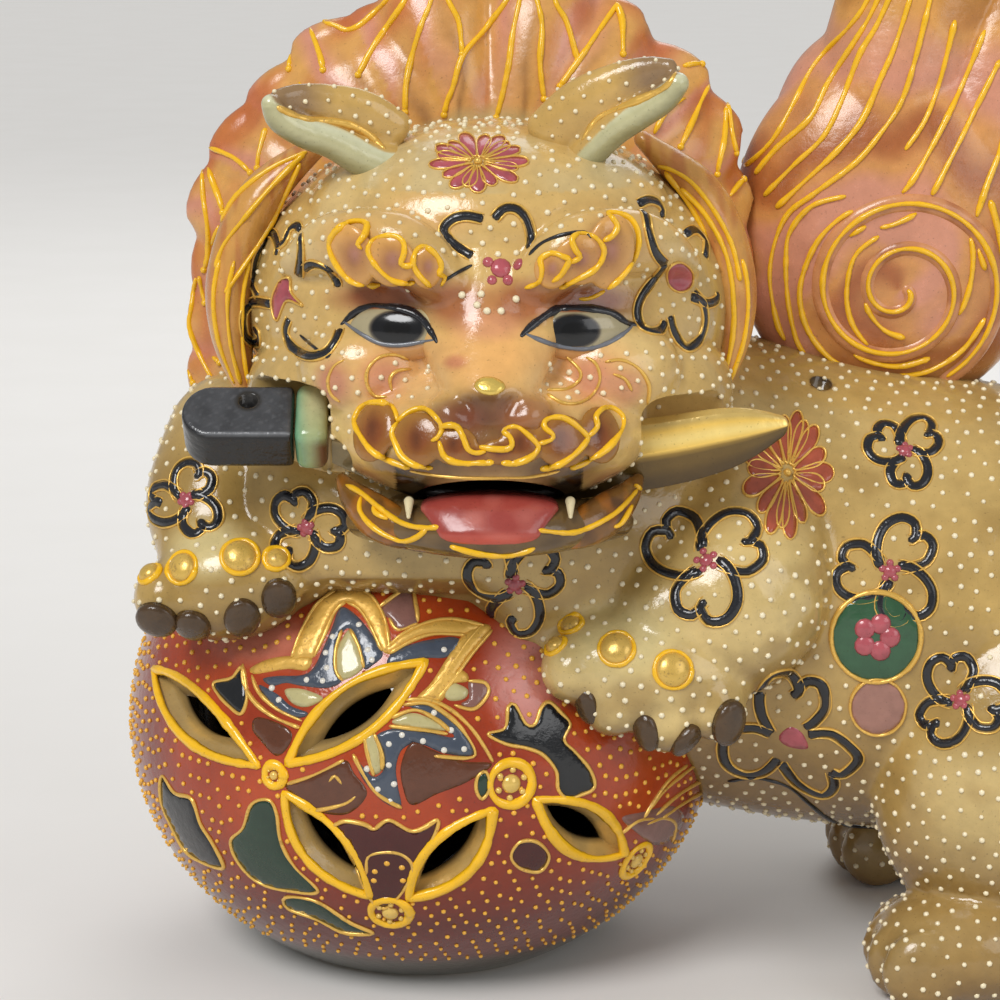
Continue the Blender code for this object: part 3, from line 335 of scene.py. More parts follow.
class Skin:
    """A cast's surface: where its points are, which way they face, and the enamel brushed on them."""

    def __init__(self, piece, ground):
        self.piece = piece
        mesh = piece.data
        count = len(mesh.vertices)
        flat = np.empty(count * 3)
        mesh.vertices.foreach_get("co", flat)
        self.spots = flat.reshape(-1, 3).copy()
        mesh.vertices.foreach_get("normal", flat)
        self.facing = flat.reshape(-1, 3).copy()
        self.enamel = np.tile(tint(ground), (count, 1))
        self.gilt = np.zeros(count)
        bm = bmesh.new()
        bm.from_mesh(mesh)
        self.tree = BVHTree.FromBMesh(bm)
        bm.free()
        away = self.spots - lens_place
        depth = away @ lens_ahead
        self.x = picture_side / 2 + lens_reach * (away @ lens_right) / depth
        self.y = picture_side / 2 - lens_reach * (away @ lens_up) / depth
        self.front = np.einsum("ij,ij->i", self.facing, -away) > 0.0

    def brush(self, colour, share, gilt=0.0):
        share = np.clip(share, 0.0, 1.0)
        self.enamel += (tint(colour) - self.enamel) * share[:, None]
        self.gilt += (gilt - self.gilt) * share

    def cloud(self, colour, strength, size, seed, gain=1.0, shift=0.0):
        """Soft random clouds of enamel, about a size across."""
        self.brush(colour, strength * fade(clouds(self.spots, size, seed) * gain + shift))

    def dab(self, colour, spot, wide, tall, strength=1.0, soft=0.6):
        """A soft dab of enamel, sized in metres, round a pixel."""
        centre = np.array(self.meet(*spot))
        away = self.spots - centre
        reach = np.sqrt((away @ lens_right / wide) ** 2 + (away @ lens_up / tall) ** 2
                        + (away @ lens_ahead / (1.3 * max(wide, tall))) ** 2)
        self.brush(colour, strength * fade(1.0 - reach, soft))

    def meet(self, x, y):
        spot = self.tree.ray_cast(Vector(lens_place), lens_ray(x, y))[0]
        if spot is None:
            spot = self.tree.find_nearest(Vector(lens_place) + lens_ray(x, y) * figure_distance)[0]
        return spot

    def dry(self, material, slot, nodes=()):
        layer = self.piece.data.attributes.new("enamel", "FLOAT_COLOR", "POINT")
        layer.data.foreach_set("color", np.column_stack((self.enamel, self.gilt)).astype(np.float32).ravel())
        return set_down(self.piece, material, nodes)


def ball_spot(longitude, latitude, lift=0.0):
    """A place on the ball by its longitude from the front and its latitude."""
    turn, climb = math.radians(longitude), math.radians(latitude)
    flat = ball_radius * math.cos(climb)
    spot = Vector((flat * math.sin(turn), -flat * math.cos(turn), ball_half_height * math.sin(climb)))
    return ball_centre + spot + ball_facing(ball_centre + spot) * lift


def ball_facing(spot):
    away = spot - ball_centre
    flat, tall = ball_radius ** 2, ball_half_height ** 2
    return Vector((away.x / flat, away.y / flat, away.z / tall)).normalized()


def ball_depth(spots):
    """How far below the ball's outer skin places lie."""
    away = spots - np.array(ball_centre)
    return (1.0 - np.sqrt((away[:, 0] ** 2 + away[:, 1] ** 2) / ball_radius ** 2
                          + away[:, 2] ** 2 / ball_half_height ** 2)) * ball_radius


def plain(add, scale=(1.0, 1.0, 1.0), **settings):
    """A plain solid, with its place, turn and scale worked into its points."""
    bpy.ops.object.select_all(action="DESELECT")
    add(**settings)
    lump = bpy.context.object
    lump.scale = scale
    bpy.ops.object.transform_apply(location=True, rotation=True, scale=True)
    return lump


def egg(centre, radii, turn=(0.0, 0.0, 0.0), fineness=5):
    """A closed lump of clay, its turn in degrees or as a matrix."""
    spin = turn.to_euler() if isinstance(turn, Matrix) else [math.radians(angle) for angle in turn]
    return plain(bpy.ops.mesh.primitive_ico_sphere_add, radii, subdivisions=fineness, radius=1.0,
                 location=centre, rotation=spin)


def drill(piece, spot, facing, radius, depth=0.012):
    """Cuts a round hole straight into a piece."""
    carve(piece, plain(bpy.ops.mesh.primitive_cylinder_add, vertices=32, radius=radius, depth=depth,
                       location=spot, rotation=facing.to_track_quat("Z", "Y").to_euler()))


def ball_skin(radius, half_height, floor, segments):
    skin = plain(bpy.ops.mesh.primitive_uv_sphere_add, (radius, radius, half_height), segments=segments,
                 ring_count=segments // 2, radius=1.0, location=ball_centre)
    for vertex in skin.data.vertices:
        vertex.co.z = max(vertex.co.z, floor)
    return skin


def almond(start, end, sides=48):
    """The cutter of one slit between two knots, and the line where it leaves the ball's skin."""
    gap = (places[end] - places[start]).length
    start, end = (places[key].lerp(places[other], (knot_sizes[key] + tip_margin) / gap)
                  for key, other in ((start, end), (end, start)))
    middle = (start + end) / 2
    outward = ball_facing(middle)
    along = end - start
    span = along.length / 2
    along = (along - outward * along.dot(outward)).normalized()
    wide = outward.cross(along)
    steps = [(-0.0040, 1.12, 1.25), (0.0, 1.0, 1.0), (0.0008, 0.96, 0.90), (0.0018, 0.86, 0.74),
             (0.0028, 0.74, 0.60), (0.0038, 0.0, 0.47), (throat_depth, 0.0, 0.41), (0.0100, 0.0, 0.40)]
    loops = []
    for sunk, length, width in steps:
        half_length = max(span * length, slit_length / 2)
        half_width = rim_half_width * width if sunk < throat_depth else slit_width / 2
        loop = []
        for step in range(sides):
            turn = 2 * math.pi * step / sides
            reach = math.cos(turn)
            breadth = math.copysign(1.0 - reach * reach, math.sin(turn)) if step % (sides // 2) else 0.0
            spot = on_ball(middle + along * half_length * reach + wide * half_width * breadth, outward)
            loop.append(spot - outward * sunk)
        loops.append(loop)
    points = [spot for loop in loops for spot in loop]
    return tube("cutter", points, sides), loops[1]


def on_ball(spot, outward):
    """The place on the ball's skin over a spot, seen along a direction."""
    scale = Vector((1 / ball_radius, 1 / ball_radius, 1 / ball_half_height))
    away, way = (spot - ball_centre) * scale, outward * scale
    a, b, c = way.dot(way), away.dot(way), away.dot(away) - 1.0
    return spot + outward * ((math.sqrt(max(b * b - a * c, 0.0)) - b) / a)


ball = join([ball_skin(ball_radius, ball_half_height, 0.0, 288)], "ball_shell")
carve(ball, ball_skin(ball_radius - ball_wall, ball_half_height - ball_wall, ball_wall, 96))
rims = []
for half_turn in (0.0, 180.0):
    places = {key: ball_spot(longitude + half_turn, latitude) for key, (longitude, latitude) in knots.items()}
    for start, end in slit_ties:
        cutter, rim = almond(start, end)
        carve(ball, cutter)
        rims.append(rim)
put_in_order(ball)
ball_coat = Skin(ball, "a23a12")
depth = ball_depth(ball_coat.spots)
height = ball_coat.spots[:, 2]


def fade(value, width=1.0):
    """A share from 0 to 1 that is full where a value reaches a width."""
    return np.clip(value / width, 0, 1)


def clouds(spots, size, seed):
    """Soft random clouds from -1 to 1 over places, the same on every run."""
    draw = np.random.default_rng(seed)
    total = np.zeros(len(spots))
    for wave in range(9):
        way = draw.normal(size=3)
        way *= draw.uniform(0.6, 1.7) / (np.linalg.norm(way) * size)
        total += np.sin(spots @ way * 2 * math.pi + draw.uniform(0, 6.3))
    return np.clip(total / 4.2, -1.0, 1.0)


mist = clouds(ball_coat.spots, 0.040, 5)
ball_coat.brush("b5481c", 0.7 * fade(mist * 1.6 - 0.1))
ball_coat.brush("7c2412", 0.6 * fade(-mist * 1.6 - 0.2))
ball_coat.dab("b8705c", (262, 640), 0.016, 0.007, 0.85)
ball_coat.dab("c07a6e", (525, 672), 0.010, 0.014, 0.9)
# Painted shade: a dark dab down the ball's left edge and a darkening over its lower part.
ball_coat.dab("6a1f16", (140, 730), 0.012, 0.040, 0.7)
ball_coat.brush("541711", 0.90 * fade(0.044 - height, 0.024))
ball_coat.brush("3a2d1c", fade(0.010 - height, 0.003))
ball_coat.brush("4a4a42", fade(0.0035 - height, 0.0012))
wall = fade(depth - 0.00015, 0.0002)
ball_coat.brush("a88c56", wall)
ball_coat.brush("dcb466", wall * fade(clouds(ball_coat.spots, 0.012, 8) * 1.5 + 0.2), 0.35)
# Painted shade: the countersink walls darken with depth, and the throat of each slit is painted near black as
# the shade inside the hollow ball.
ball_coat.brush("4a3a28", wall * fade(depth - 0.0030, 0.0012) * 0.8)
ball_coat.brush("120c08", fade(depth - 0.0043, 0.0003))
ball_coat.brush("ded0b8", fade(0.0006 - height, 0.0004))
ball_coat.dry(fire("ball_enamel_glaze"), "ball_enamel", ("ball",))


# The ball's decoration is raised slip and enamel: thick yellow ropes round the slits, knots with gilded
# beads, a gold-banded star, black clouds, green leaves, and yellow dots strewn over the red ground.
def strokes(text):
    """Paths written as x,y pairs, with a stroke between slashes."""
    return [[tuple(float(part) for part in pair.split(",")) for pair in stroke.split()]
            for stroke in text.split("/")]


def smooth_path(path, step, closed=False):
    """Places along a smooth curve through a path's points, about a step apart."""
    points = np.array(path, float)
    ends = (points[-1:], points[:2]) if closed else (points[:1], points[-1:])
    rows = np.vstack((ends[0], points, ends[1]))
    result = []
    for before, start, end, after in zip(rows, rows[1:], rows[2:], rows[3:]):
        count = max(1, int(round(np.linalg.norm(end - start) / step)))
        for t in np.arange(count) / count:
            result.append(0.5 * (2 * start + (end - before) * t
                                 + (2 * before - 5 * start + 4 * end - after) * t * t
                                 + (3 * start - before - 3 * end + after) * t ** 3))
    if not closed:
        result.append(points[-1])
    return np.array(result)


def by_lens(*skins):
    """Finds the skin behind a pixel."""
    def find(x, y):
        best = None
        for skin in skins:
            spot, facing, _, far = skin.tree.ray_cast(Vector(lens_place), lens_ray(x, y))
            if spot is not None and (best is None or far < best[2]):
                best = (spot, facing, far)
        return best[:2] if best else None
    return find


def by_hand(skin, centre, outward, size, turn=0.0, reach=0.02):
    """Finds the skin under a drawing of the given size, laid on it at a centre; y runs down, as in pixels."""
    outward = Vector(outward).normalized()
    across = Vector((0.0, 0.0, 1.0)).cross(outward)
    across = across.normalized() if across.length > 0.1 else Vector((1.0, 0.0, 0.0))
    upright = outward.cross(across)
    spin = math.radians(turn)

    def find(x, y):
        flat = (across * (x * math.cos(spin) + y * math.sin(spin))
                + upright * (x * math.sin(spin) - y * math.cos(spin))) * size
        start = Vector(centre) + flat + outward * reach
        spot, facing, _, _ = skin.tree.ray_cast(start, -outward, reach * 2.5)
        return (spot, facing) if spot is not None else None
    return find


laid = []
leap = 0.006


def apart(run):
    """The places and the facings of a run, each as an array."""
    return np.array([spot for spot, _ in run]), np.array([facing for _, facing in run])


def straight(skin, x, z, start=-1.0):
    """The place and facing that a skin shows to a look along Y, from the front or from a start behind."""
    return skin.tree.ray_cast(Vector((x, start, z)), Vector((0.0, -math.copysign(1.0, start), 0.0)))[:2]


def circled(centre, radius, angles):
    """Flat places round a centre at the given angles."""
    return [(centre[0] + radius * math.cos(angle), centre[1] + radius * math.sin(angle)) for angle in angles]


def sideways(facings, ahead):
    """Unit steps across a line, along the clay."""
    side = np.cross(facings, ahead)
    return side / np.maximum(np.linalg.norm(side, axis=1), 1e-9)[:, None]


def trace(find, path, step, closed=False, leap=leap):
    """Runs of places and facings where a path crosses the clay, broken where it leaps from part to part."""
    runs, run = [], []
    for x, y in smooth_path(path, step, closed):
        met = find(x, y)
        if met is None or (run and (met[0] - run[-1][0]).length > leap):
            if len(run) > 3:
                runs.append(run)
            run = [met] if met else []
        else:
            run.append(met)
    if len(run) > 3:
        runs.append(run)
    result = []
    for run in runs:
        spots, facings = apart(run)
        padded = np.vstack((facings[:1], facings[:1], facings, facings[-1:], facings[-1:]))
        facings = sum(padded[shift:shift + len(run)] for shift in range(5))
        result.append((spots, facings / np.linalg.norm(facings, axis=1)[:, None]))
    return result


class Slip:
    """Raised work of one colour: lines, dots and pads, all closed bodies a little sunk in the clay."""

    def __init__(self, seed):
        self.points = []
        self.faces = []
        self.draw = np.random.default_rng(seed)

    def line(self, spots, facings, width, height, closed=False, taper=2.5, keep=True):
        count = len(spots)
        if count < 4:
            return
        if closed:
            ahead = np.roll(spots, -1, 0) - np.roll(spots, 1, 0)
            thick = np.ones(count)
        else:
            ahead = np.gradient(spots, axis=0)
            steps = np.arange(count)
            thick = np.sqrt(np.clip(np.minimum(steps + 0.5, count - 0.5 - steps) / taper, 0.0, 1.0))
        wobble = np.convolve(self.draw.normal(size=count + 6), np.ones(7) / 7, "valid")
        thick = thick * np.clip(1.0 + wobble * 0.35, 0.7, 1.35)
        side = sideways(facings, ahead)
        section = ((-0.5, -0.45), (-0.40, 0.50), (0.0, 1.0), (0.40, 0.50), (0.5, -0.45))
        wide, tall = (width * thick)[:, None], (height * thick)[:, None]
        rings = np.stack([spots + side * wide * a + facings * tall * b for a, b in section], 1)
        base = len(self.points)
        self.points.extend(rings.reshape(-1, 3).tolist())
        for ring in range(count if closed else count - 1):
            one, two = base + ring * 5, base + (ring + 1) % count * 5
            for corner in range(5):
                after = (corner + 1) % 5
                self.faces.append((one + corner, two + corner, two + after, one + after))
        if not closed:
            self.faces.append(tuple(base + corner for corner in range(5)))
            last = base + (count - 1) * 5
            self.faces.append(tuple(last + corner for corner in reversed(range(5))))
        if keep:
            laid.extend(spots.tolist())

    def stroke(self, find, path, step, width, height, closed=False, keep=True, taper=2.5):
        for spots, facings in trace(find, path, step, closed):
            self.line(spots, facings, width, height, closed and len(spots) > 8, taper, keep)

    def dot(self, spot, facing, radius, height, sides=6):
        facing = Vector(facing)
        turn = facing.to_track_quat("Z", "Y").to_matrix()
        base = len(self.points)
        spin = self.draw.uniform(0, 2)
        for size, level in ((1.0, -0.35), (0.74, 0.58)):
            for side in range(sides):
                angle = spin + 2 * math.pi * side / sides
                out = radius * size
                offset = Vector((out * math.cos(angle), out * math.sin(angle), height * level))
                self.points.append(tuple(Vector(spot) + turn @ offset))
        self.points.append(tuple(Vector(spot) + facing * height))
        top = base + 2 * sides
        self.faces.append(tuple(base + side for side in reversed(range(sides))))
        for side in range(sides):
            after = (side + 1) % sides
            self.faces.append((base + side, base + after, base + sides + after, base + sides + side))
            self.faces.append((base + sides + side, base + sides + after, top))

    def pad(self, find, outline, step, height, keep=True):
        """A flat pool of enamel inside an outline, rounded down at its edge."""
        edge = smooth_path(outline, step, True)
        low, high = edge.min(0), edge.max(0)
        columns, rows = (np.arange(low[axis], high[axis], step * 1.3) for axis in (0, 1))
        grid = [(x, y) for x in columns for y in rows]
        inner = [spot for spot in grid
                 if inside(spot, edge) and np.min(np.hypot(*(edge - spot).T)) > step * 0.7]
        flat = [Vector(spot) for spot in (*edge, *inner)]
        ring = [(corner, (corner + 1) % len(edge)) for corner in range(len(edge))]
        net = delaunay_2d_cdt(flat, ring, [], 1, 1e-4)
        met = [find(*spot) for spot in net[0]]
        centre = [spot for spot in met if spot]
        if len(centre) < 6:
            return
        faces = [face for face in net[2] if all(met[corner] for corner in face)
                 and max((met[face[at]][0] - met[face[at + 1]][0]).length for at in (0, 1)) < leap]
        used = sorted({corner for face in faces for corner in face})
        order = {corner: place for place, corner in enumerate(used)}
        sides = {}
        for face in faces:
            for one, two in zip(face, (*face[1:], face[0])):
                if (two, one) in sides:
                    del sides[(two, one)]
                else:
                    sides[(one, two)] = True
        border = {corner for pair in sides for corner in pair}
        base, count = len(self.points), len(used)
        for corner in used:
            spot, facing = met[corner]
            self.points.append(tuple(spot + facing * height * (0.15 if corner in border else 1.0)))
        for corner in used:
            spot, facing = met[corner]
            self.points.append(tuple(spot - facing * 0.0004))
        first, second, third = (met[corner][0] for corner in faces[0][:3])
        flip = (second - first).cross(third - first).dot(met[faces[0][0]][1]) < 0
        for face in faces:
            top = [base + order[corner] for corner in face]
            under = [corner + count for corner in reversed(top)]
            self.faces.append(tuple(reversed(top)) if flip else tuple(top))
            self.faces.append(tuple(reversed(under)) if flip else tuple(under))
        for one, two in sides:
            near, far = base + order[one], base + order[two]
            side = (near, near + count, far + count, far)
            self.faces.append(tuple(reversed(side)) if flip else side)
        if keep:
            laid.extend([tuple(met[corner][0]) for corner in used])

    def half_turn(self):
        """The same work once more on the other side of the upright axis."""
        count = len(self.points)
        self.points.extend([(-x, -y, z) for x, y, z in self.points])
        self.faces.extend([tuple(corner + count for corner in face) for face in self.faces])

    def set(self, name, material, slot):
        piece = shape_of(name, self.points, self.faces)
        return set_down(piece, material)


def inside(spot, ring):
    """Whether a flat spot lies inside a ring of points."""
    x, y = spot
    ahead = np.roll(ring, -1, 0)
    crossing = (ring[:, 1] > y) != (ahead[:, 1] > y)
    with np.errstate(divide="ignore", invalid="ignore"):
        where = (ahead[:, 0] - ring[:, 0]) * (y - ring[:, 1]) / (ahead[:, 1] - ring[:, 1]) + ring[:, 0]
    return bool(np.count_nonzero(crossing & (x < where)) % 2)


def scatter(skin, allowed, spacing, clearance, seed):
    """Places for dots on a skin, evenly strewn and clear of the work already laid."""
    tree = KDTree(max(1, len(laid)))
    for index, spot in enumerate(laid):
        tree.insert(spot, index)
    tree.balance()
    order = np.random.default_rng(seed).permutation(np.flatnonzero(allowed))
    taken, chosen = {}, []
    for index in order:
        spot = skin.spots[index]
        cell = tuple(np.floor(spot / spacing).astype(int))
        near = [other for dx in (-1, 0, 1) for dy in (-1, 0, 1) for dz in (-1, 0, 1)
                for other in taken.get((cell[0] + dx, cell[1] + dy, cell[2] + dz), ())]
        if near and np.min(np.sum((np.array(near) - spot) ** 2, 1)) < spacing * spacing:
            continue
        if laid and tree.find(spot)[2] < clearance:
            continue
        taken.setdefault(cell, []).append(spot)
        chosen.append(index)
    return chosen


star_ribbons = """
    292,658 300,634 316,606 336,590 359,588 374,599 385,620 390,650 381,650 368,623 357,608 346,602
    335,611 323,637 314,657 305,659 / 250,669 266,660 288,656 311,657 307,670 288,669 269,672 254,674 /
    481,624 491,630 471,653 454,678 434,700 417,698 431,683 447,658 461,637 / 385,649 403,634 426,623
    451,619 482,625 465,634 434,634 412,640 389,654 / 423,695 443,671 464,671 468,681 451,685 443,700
    431,703
"""
star_fields = """
    344,607 359,618 373,636 383,654 373,665 364,669 359,650 350,629 342,634 336,655 337,672 342,681
    328,688 302,686 286,683 272,686 263,679 277,676 302,675 314,667 325,644 333,625 337,613 / 259,685
    277,694 291,706 308,713 300,718 283,713 269,702 / 390,655 412,644 434,639 454,637 461,643 447,657
    429,658 412,661 389,668 / 404,704 426,705 443,713 460,728 474,751 467,756 443,753 424,745 406,740
    390,732 398,728 426,732 454,737 437,720 415,709 / 377,735 401,728 413,740 401,751 396,768 398,787
    401,807 387,804 374,793 361,776 354,756 364,768 374,777 384,769 383,751
"""
star_petals = """
    350,630 359,647 363,668 344,680 337,671 336,653 342,639 / 285,690 302,689 323,698 307,707 292,703 /
    392,721 412,713 431,719 447,730 423,729 401,726 / 364,735 374,734 381,754 382,769 374,774 367,756 /
    440,686 454,683 468,690 464,699 448,700
"""
star_mauves = """
    382,608 406,589 414,602 418,622 401,630 390,620 / 469,681 485,683 488,694 474,709 461,704 469,698
"""
star_browns = """
    412,742 431,749 460,761 492,764 467,782 437,794 412,805 403,788 401,765 / 286,784 314,775 344,760
    354,773 367,794 347,814 316,811 295,797 / 258,717 288,728 291,742 277,756 260,740 252,728
"""
star_lines = """
    243,664 244,683 255,702 274,717 300,728 / 252,675 259,692 277,709 302,721 / 292,658 300,634 316,606
    336,590 / 359,588 374,599 385,620 390,650 / 346,602 335,612 323,639 314,657 / 346,602 359,609 370,625
    382,651 / 342,630 336,650 336,671 343,681 / 350,629 359,647 364,668 / 385,649 403,634 426,623 451,619
    485,626 / 389,654 412,641 434,634 465,635 / 482,625 465,644 446,672 423,696 / 492,630 471,655 454,679
    437,700 / 406,700 429,700 451,710 471,728 485,748 493,762 / 403,705 426,703 443,712 461,728 475,751
    468,758 434,756 / 391,718 415,710 437,720 451,732 / 389,726 423,730 448,734 / 353,754 364,775 378,794
    402,808 / 364,735 368,756 374,776 / 374,733 382,754 382,770 / 378,608 409,588 416,605 418,622 /
    389,618 398,630 418,623 / 468,681 485,683 488,694 474,709 454,705 / 287,784 314,775 344,760 / 329,782
    335,776 342,784 / 288,793 300,807 316,810 344,804 356,796
"""
star_beads = """
    359,625 333,637 326,653 368,650 372,660 327,668 307,680 323,681 272,688 279,700 444,650 434,713
    451,730 423,741 444,750 464,749 402,735 389,744 389,765 394,784 378,789 390,801 367,769
"""
quatrefoil = """
    334,825 359,822 374,829 389,820 413,831 437,820 434,836 417,863 403,891 384,908 367,894 354,863
    342,843
"""
quatrefoil_lines = """
    333,827 344,821 364,824 374,830 / 374,830 389,820 413,831 437,820 / 367,874 368,857 384,852 401,854
    412,864 412,880
"""
quatrefoil_beads = "387,863 375,871 402,867 374,880 403,880"
clouds_black = """
    214,683 232,678 242,667 246,683 247,700 241,714 229,706 218,694 / 162,776 175,793 192,799 201,824
    213,843 224,867 207,864 187,852 173,829 162,804 / 488,734 505,728 508,707 515,705 526,724 535,724
    541,708 549,702 561,713 570,724 564,740 575,752 590,770 594,787 580,795 567,798 558,789 556,771
    543,755 526,748 506,744
"""
leaves = """
    252,804 269,800 277,814 281,841 295,867 318,891 291,891 260,883 239,863 231,841 243,828 / 478,776
    486,772 490,787 482,799 476,789 / 286,897 316,901 350,922 373,933 344,932 316,919 288,908
"""
fan_lines = """
    649,809 669,786 699,762 / 655,815 678,795 707,777 / 643,818 666,783 687,765 / 661,818 684,803 713,786
    / 646,824 663,818 675,824 672,842 / 622,833 637,821 655,818
"""
fan_field = "622,818 643,812 672,806 684,818 672,839 655,845 637,833"
low_round = "520,842 537,842 549,856 540,871 520,868 511,856"
ball_view = by_lens(ball_coat)
rope_width, rope_height = 0.0021, 0.0008
rope = Slip(21)
for rim in rims:
    fine = smooth_path([tuple(spot) for spot in rim], 0.0009, True)
    facings = np.array([ball_facing(Vector(spot)) for spot in fine])
    rope.line(fine, facings, rope_width, rope_height, True)
bead = Slip(22)
for half_turn in (0.0, 180.0):
    for key, (longitude, latitude) in knots.items():
        spot = ball_spot(longitude + half_turn, latitude)
        facing = ball_facing(spot)
        ring = facing.to_track_quat("Z", "Y").to_matrix()
        wide = knot_sizes[key]
        if not wide:
            continue
        circle = [on_ball(spot + ring @ Vector((wide * math.cos(a), wide * math.sin(a), 0.0)), facing)
                  for a in np.arange(0, 2 * math.pi, 0.2)]
        rope.line(np.array(circle), np.array([ball_facing(place) for place in circle]), rope_width,
                  rope_height, True)
        bead.dot(spot, facing, wide * 0.50, 0.0010, 14)
        for petal in range(6):
            angle = petal * math.pi / 3 + 0.4
            offset = Vector((wide * 0.66 * math.cos(angle), wide * 0.66 * math.sin(angle), 0.0))
            bead.dot(on_ball(spot + ring @ offset, facing), facing, wide * 0.18, 0.0007, 8)
ribbons, fields, petals, mauves, browns, edges, pearls, maroons, blacks, greens, suns = (
    Slip(seed) for seed in range(23, 34))
star_step = 3.2
for pads, outlines, proud in ((browns, star_browns, 0.00022), (fields, star_fields, 0.00030),
                               (mauves, star_mauves, 0.00030), (petals, star_petals, 0.00042),
                               (ribbons, star_ribbons, 0.00048), (maroons, quatrefoil, 0.00025),
                               (maroons, low_round, 0.00025), (blacks, clouds_black, 0.00036),
                               (greens, leaves, 0.00030), (mauves, fan_field, 0.00026)):
    for outline in strokes(outlines):
        pads.pad(ball_view, outline, star_step, proud)
for outline in (*strokes(clouds_black), *strokes(leaves), *strokes(quatrefoil), *strokes(low_round)):
    edges.stroke(ball_view, outline, star_step, 0.00085, 0.00055, True)
for path in (*strokes(star_lines), *strokes(quatrefoil_lines), *strokes(fan_lines)):
    edges.stroke(ball_view, path, star_step, 0.00090, 0.00060)
for drops, text in ((pearls, star_beads), (suns, quatrefoil_beads)):
    for x, y in strokes(text)[0]:
        drops.dot(*ball_view(x, y), 0.00080, 0.0006, 9)
laid.extend([(-x, -y, z) for x, y, z in laid])
laid.extend([tuple(spot) for rim in rims for spot in rim])
for work in (ribbons, fields, petals, mauves, browns, edges, pearls, maroons, blacks, greens, suns):
    work.half_turn()
open_skin = (np.abs(depth) < 0.0001) & (height > 0.009)
for index in scatter(ball_coat, open_skin, spacing=0.0027, clearance=0.0015, seed=41):
    size = suns.draw.uniform(0.00056, 0.00072) * (0.78 + 0.22 * min(1.0, ball_coat.spots[index][2] / 0.05))
    suns.dot(ball_coat.spots[index], ball_coat.facing[index], size, 0.00055)
yellow_slip = fire("yellow_slip_glaze", "eeb81c", 0.20, 0.0, 0.30, 0.25)
gold_leaf = fire("gold_line_gilding", "e6b858", 0.24, 0.45, 0.25, 0.25, "9a7030", 0.6)
rope.set("ball_slit_ropes", yellow_slip, "boss_gold")
bead.set("ball_knot_beads", fire("knot_bead_gilding", "e0bc62", 0.16, 0.2, 0.25, 0.2, "b08a4a", 0.4),
         "boss_gold")
ribbons.set("ball_star_ribbons", fire("ribbon_gilding", "dcae50", 0.32, 0.30, 0.34, 0.5, "9a6f30", 0.7),
            "boss_gold")
fields.set("ball_star_fields", fire("star_blue_enamel", "454d5a", 0.14, 0.0, 0.5), "ball_enamel")
petals.set("ball_star_petals", fire("petal_celadon_enamel", "b8ae7c", 0.14, 0.0, 0.4), "ball_enamel")
mauves.set("ball_star_mauves", fire("star_mauve_enamel", "7d5850", 0.15, 0.0, 0.5), "ball_enamel")
browns.set("ball_star_browns", fire("star_brown_enamel", "5a3320", 0.16, 0.0, 0.5), "ball_enamel")
edges.set("ball_gold_lines", gold_leaf, "boss_gold")
pearls.set("ball_white_beads", fire("bead_white_slip", "dcd8cc", 0.15, 0.0, 0.2), "ball_enamel")
maroons.set("ball_quatrefoils", fire("maroon_enamel", "461310", 0.12, 0.0, 0.4), "ball_enamel")
blacks.set("ball_black_clouds", fire("cloud_black_enamel", "15171a", 0.16, 0.0, 0.4), "ball_enamel")
greens.set("ball_green_leaves", fire("leaf_green_enamel", "22382a", 0.12, 0.0, 0.5), "ball_enamel")
suns.set("ball_yellow_dots", fire("dot_yellow_slip", "e8ac38", 0.20, 0.0, 0.25, 0.2), "ball_enamel")


# The body is one casting with its limbs luted on: chest over the ball, barrel and rump, both forelegs
# with their four-toed paws on the ball, and the hind legs standing behind it.
shoulder_reach = 0.050
rump_reach = 0.166
saddle_sink = 0.004
chest_depth, chest_height = 0.092, 0.076
barrel_depth, barrel_height = 0.092, 0.102
belly_clearance = 0.023
vent_width = 0.0046
left_arm_radius, right_arm_radius = 0.017, 0.022
left_paw_width, right_paw_width = 0.033, 0.043
paw_thickness = 0.022
toe_radius = 0.0064
thigh_length, thigh_height, thigh_depth, thigh_spread = 0.062, 0.084, 0.048, 0.030
shin_radius = 0.0170
hind_foot_length, hind_foot_width, hind_foot_height = 0.046, 0.034, 0.025
hind_toe_x = 0.092
body_shapes = [
    (0.002, 0.95, -0.17, 0.02, 0.02), (0.010, 0.95, -0.17, 0.28, 0.34), (0.035, 0.95, -0.17, 0.50, 0.55),
    (0.090, 0.92, -0.16, 0.74, 0.76), (0.190, 0.88, -0.14, 0.93, 0.92), (0.300, 0.80, -0.10, 1.00, 1.03),
    (0.410, 0.58, -0.03, 1.00, 1.00), (0.520, 0.30, 0.03, 1.00, 1.00), (0.630, 0.12, 0.03, 1.00, 1.00),
    (0.740, 0.02, 0.02, 1.00, 0.98), (0.820, -0.05, 0.02, 0.97, 0.95), (0.885, -0.10, 0.02, 0.87, 0.86),
    (0.932, -0.14, 0.02, 0.72, 0.72), (0.964, -0.17, 0.02, 0.52, 0.53), (0.981, -0.19, 0.02, 0.30, 0.30),
    (0.988, -0.20, 0.02, 0.12, 0.12), (0.9895, -0.20, 0.02, 0.02, 0.02)]


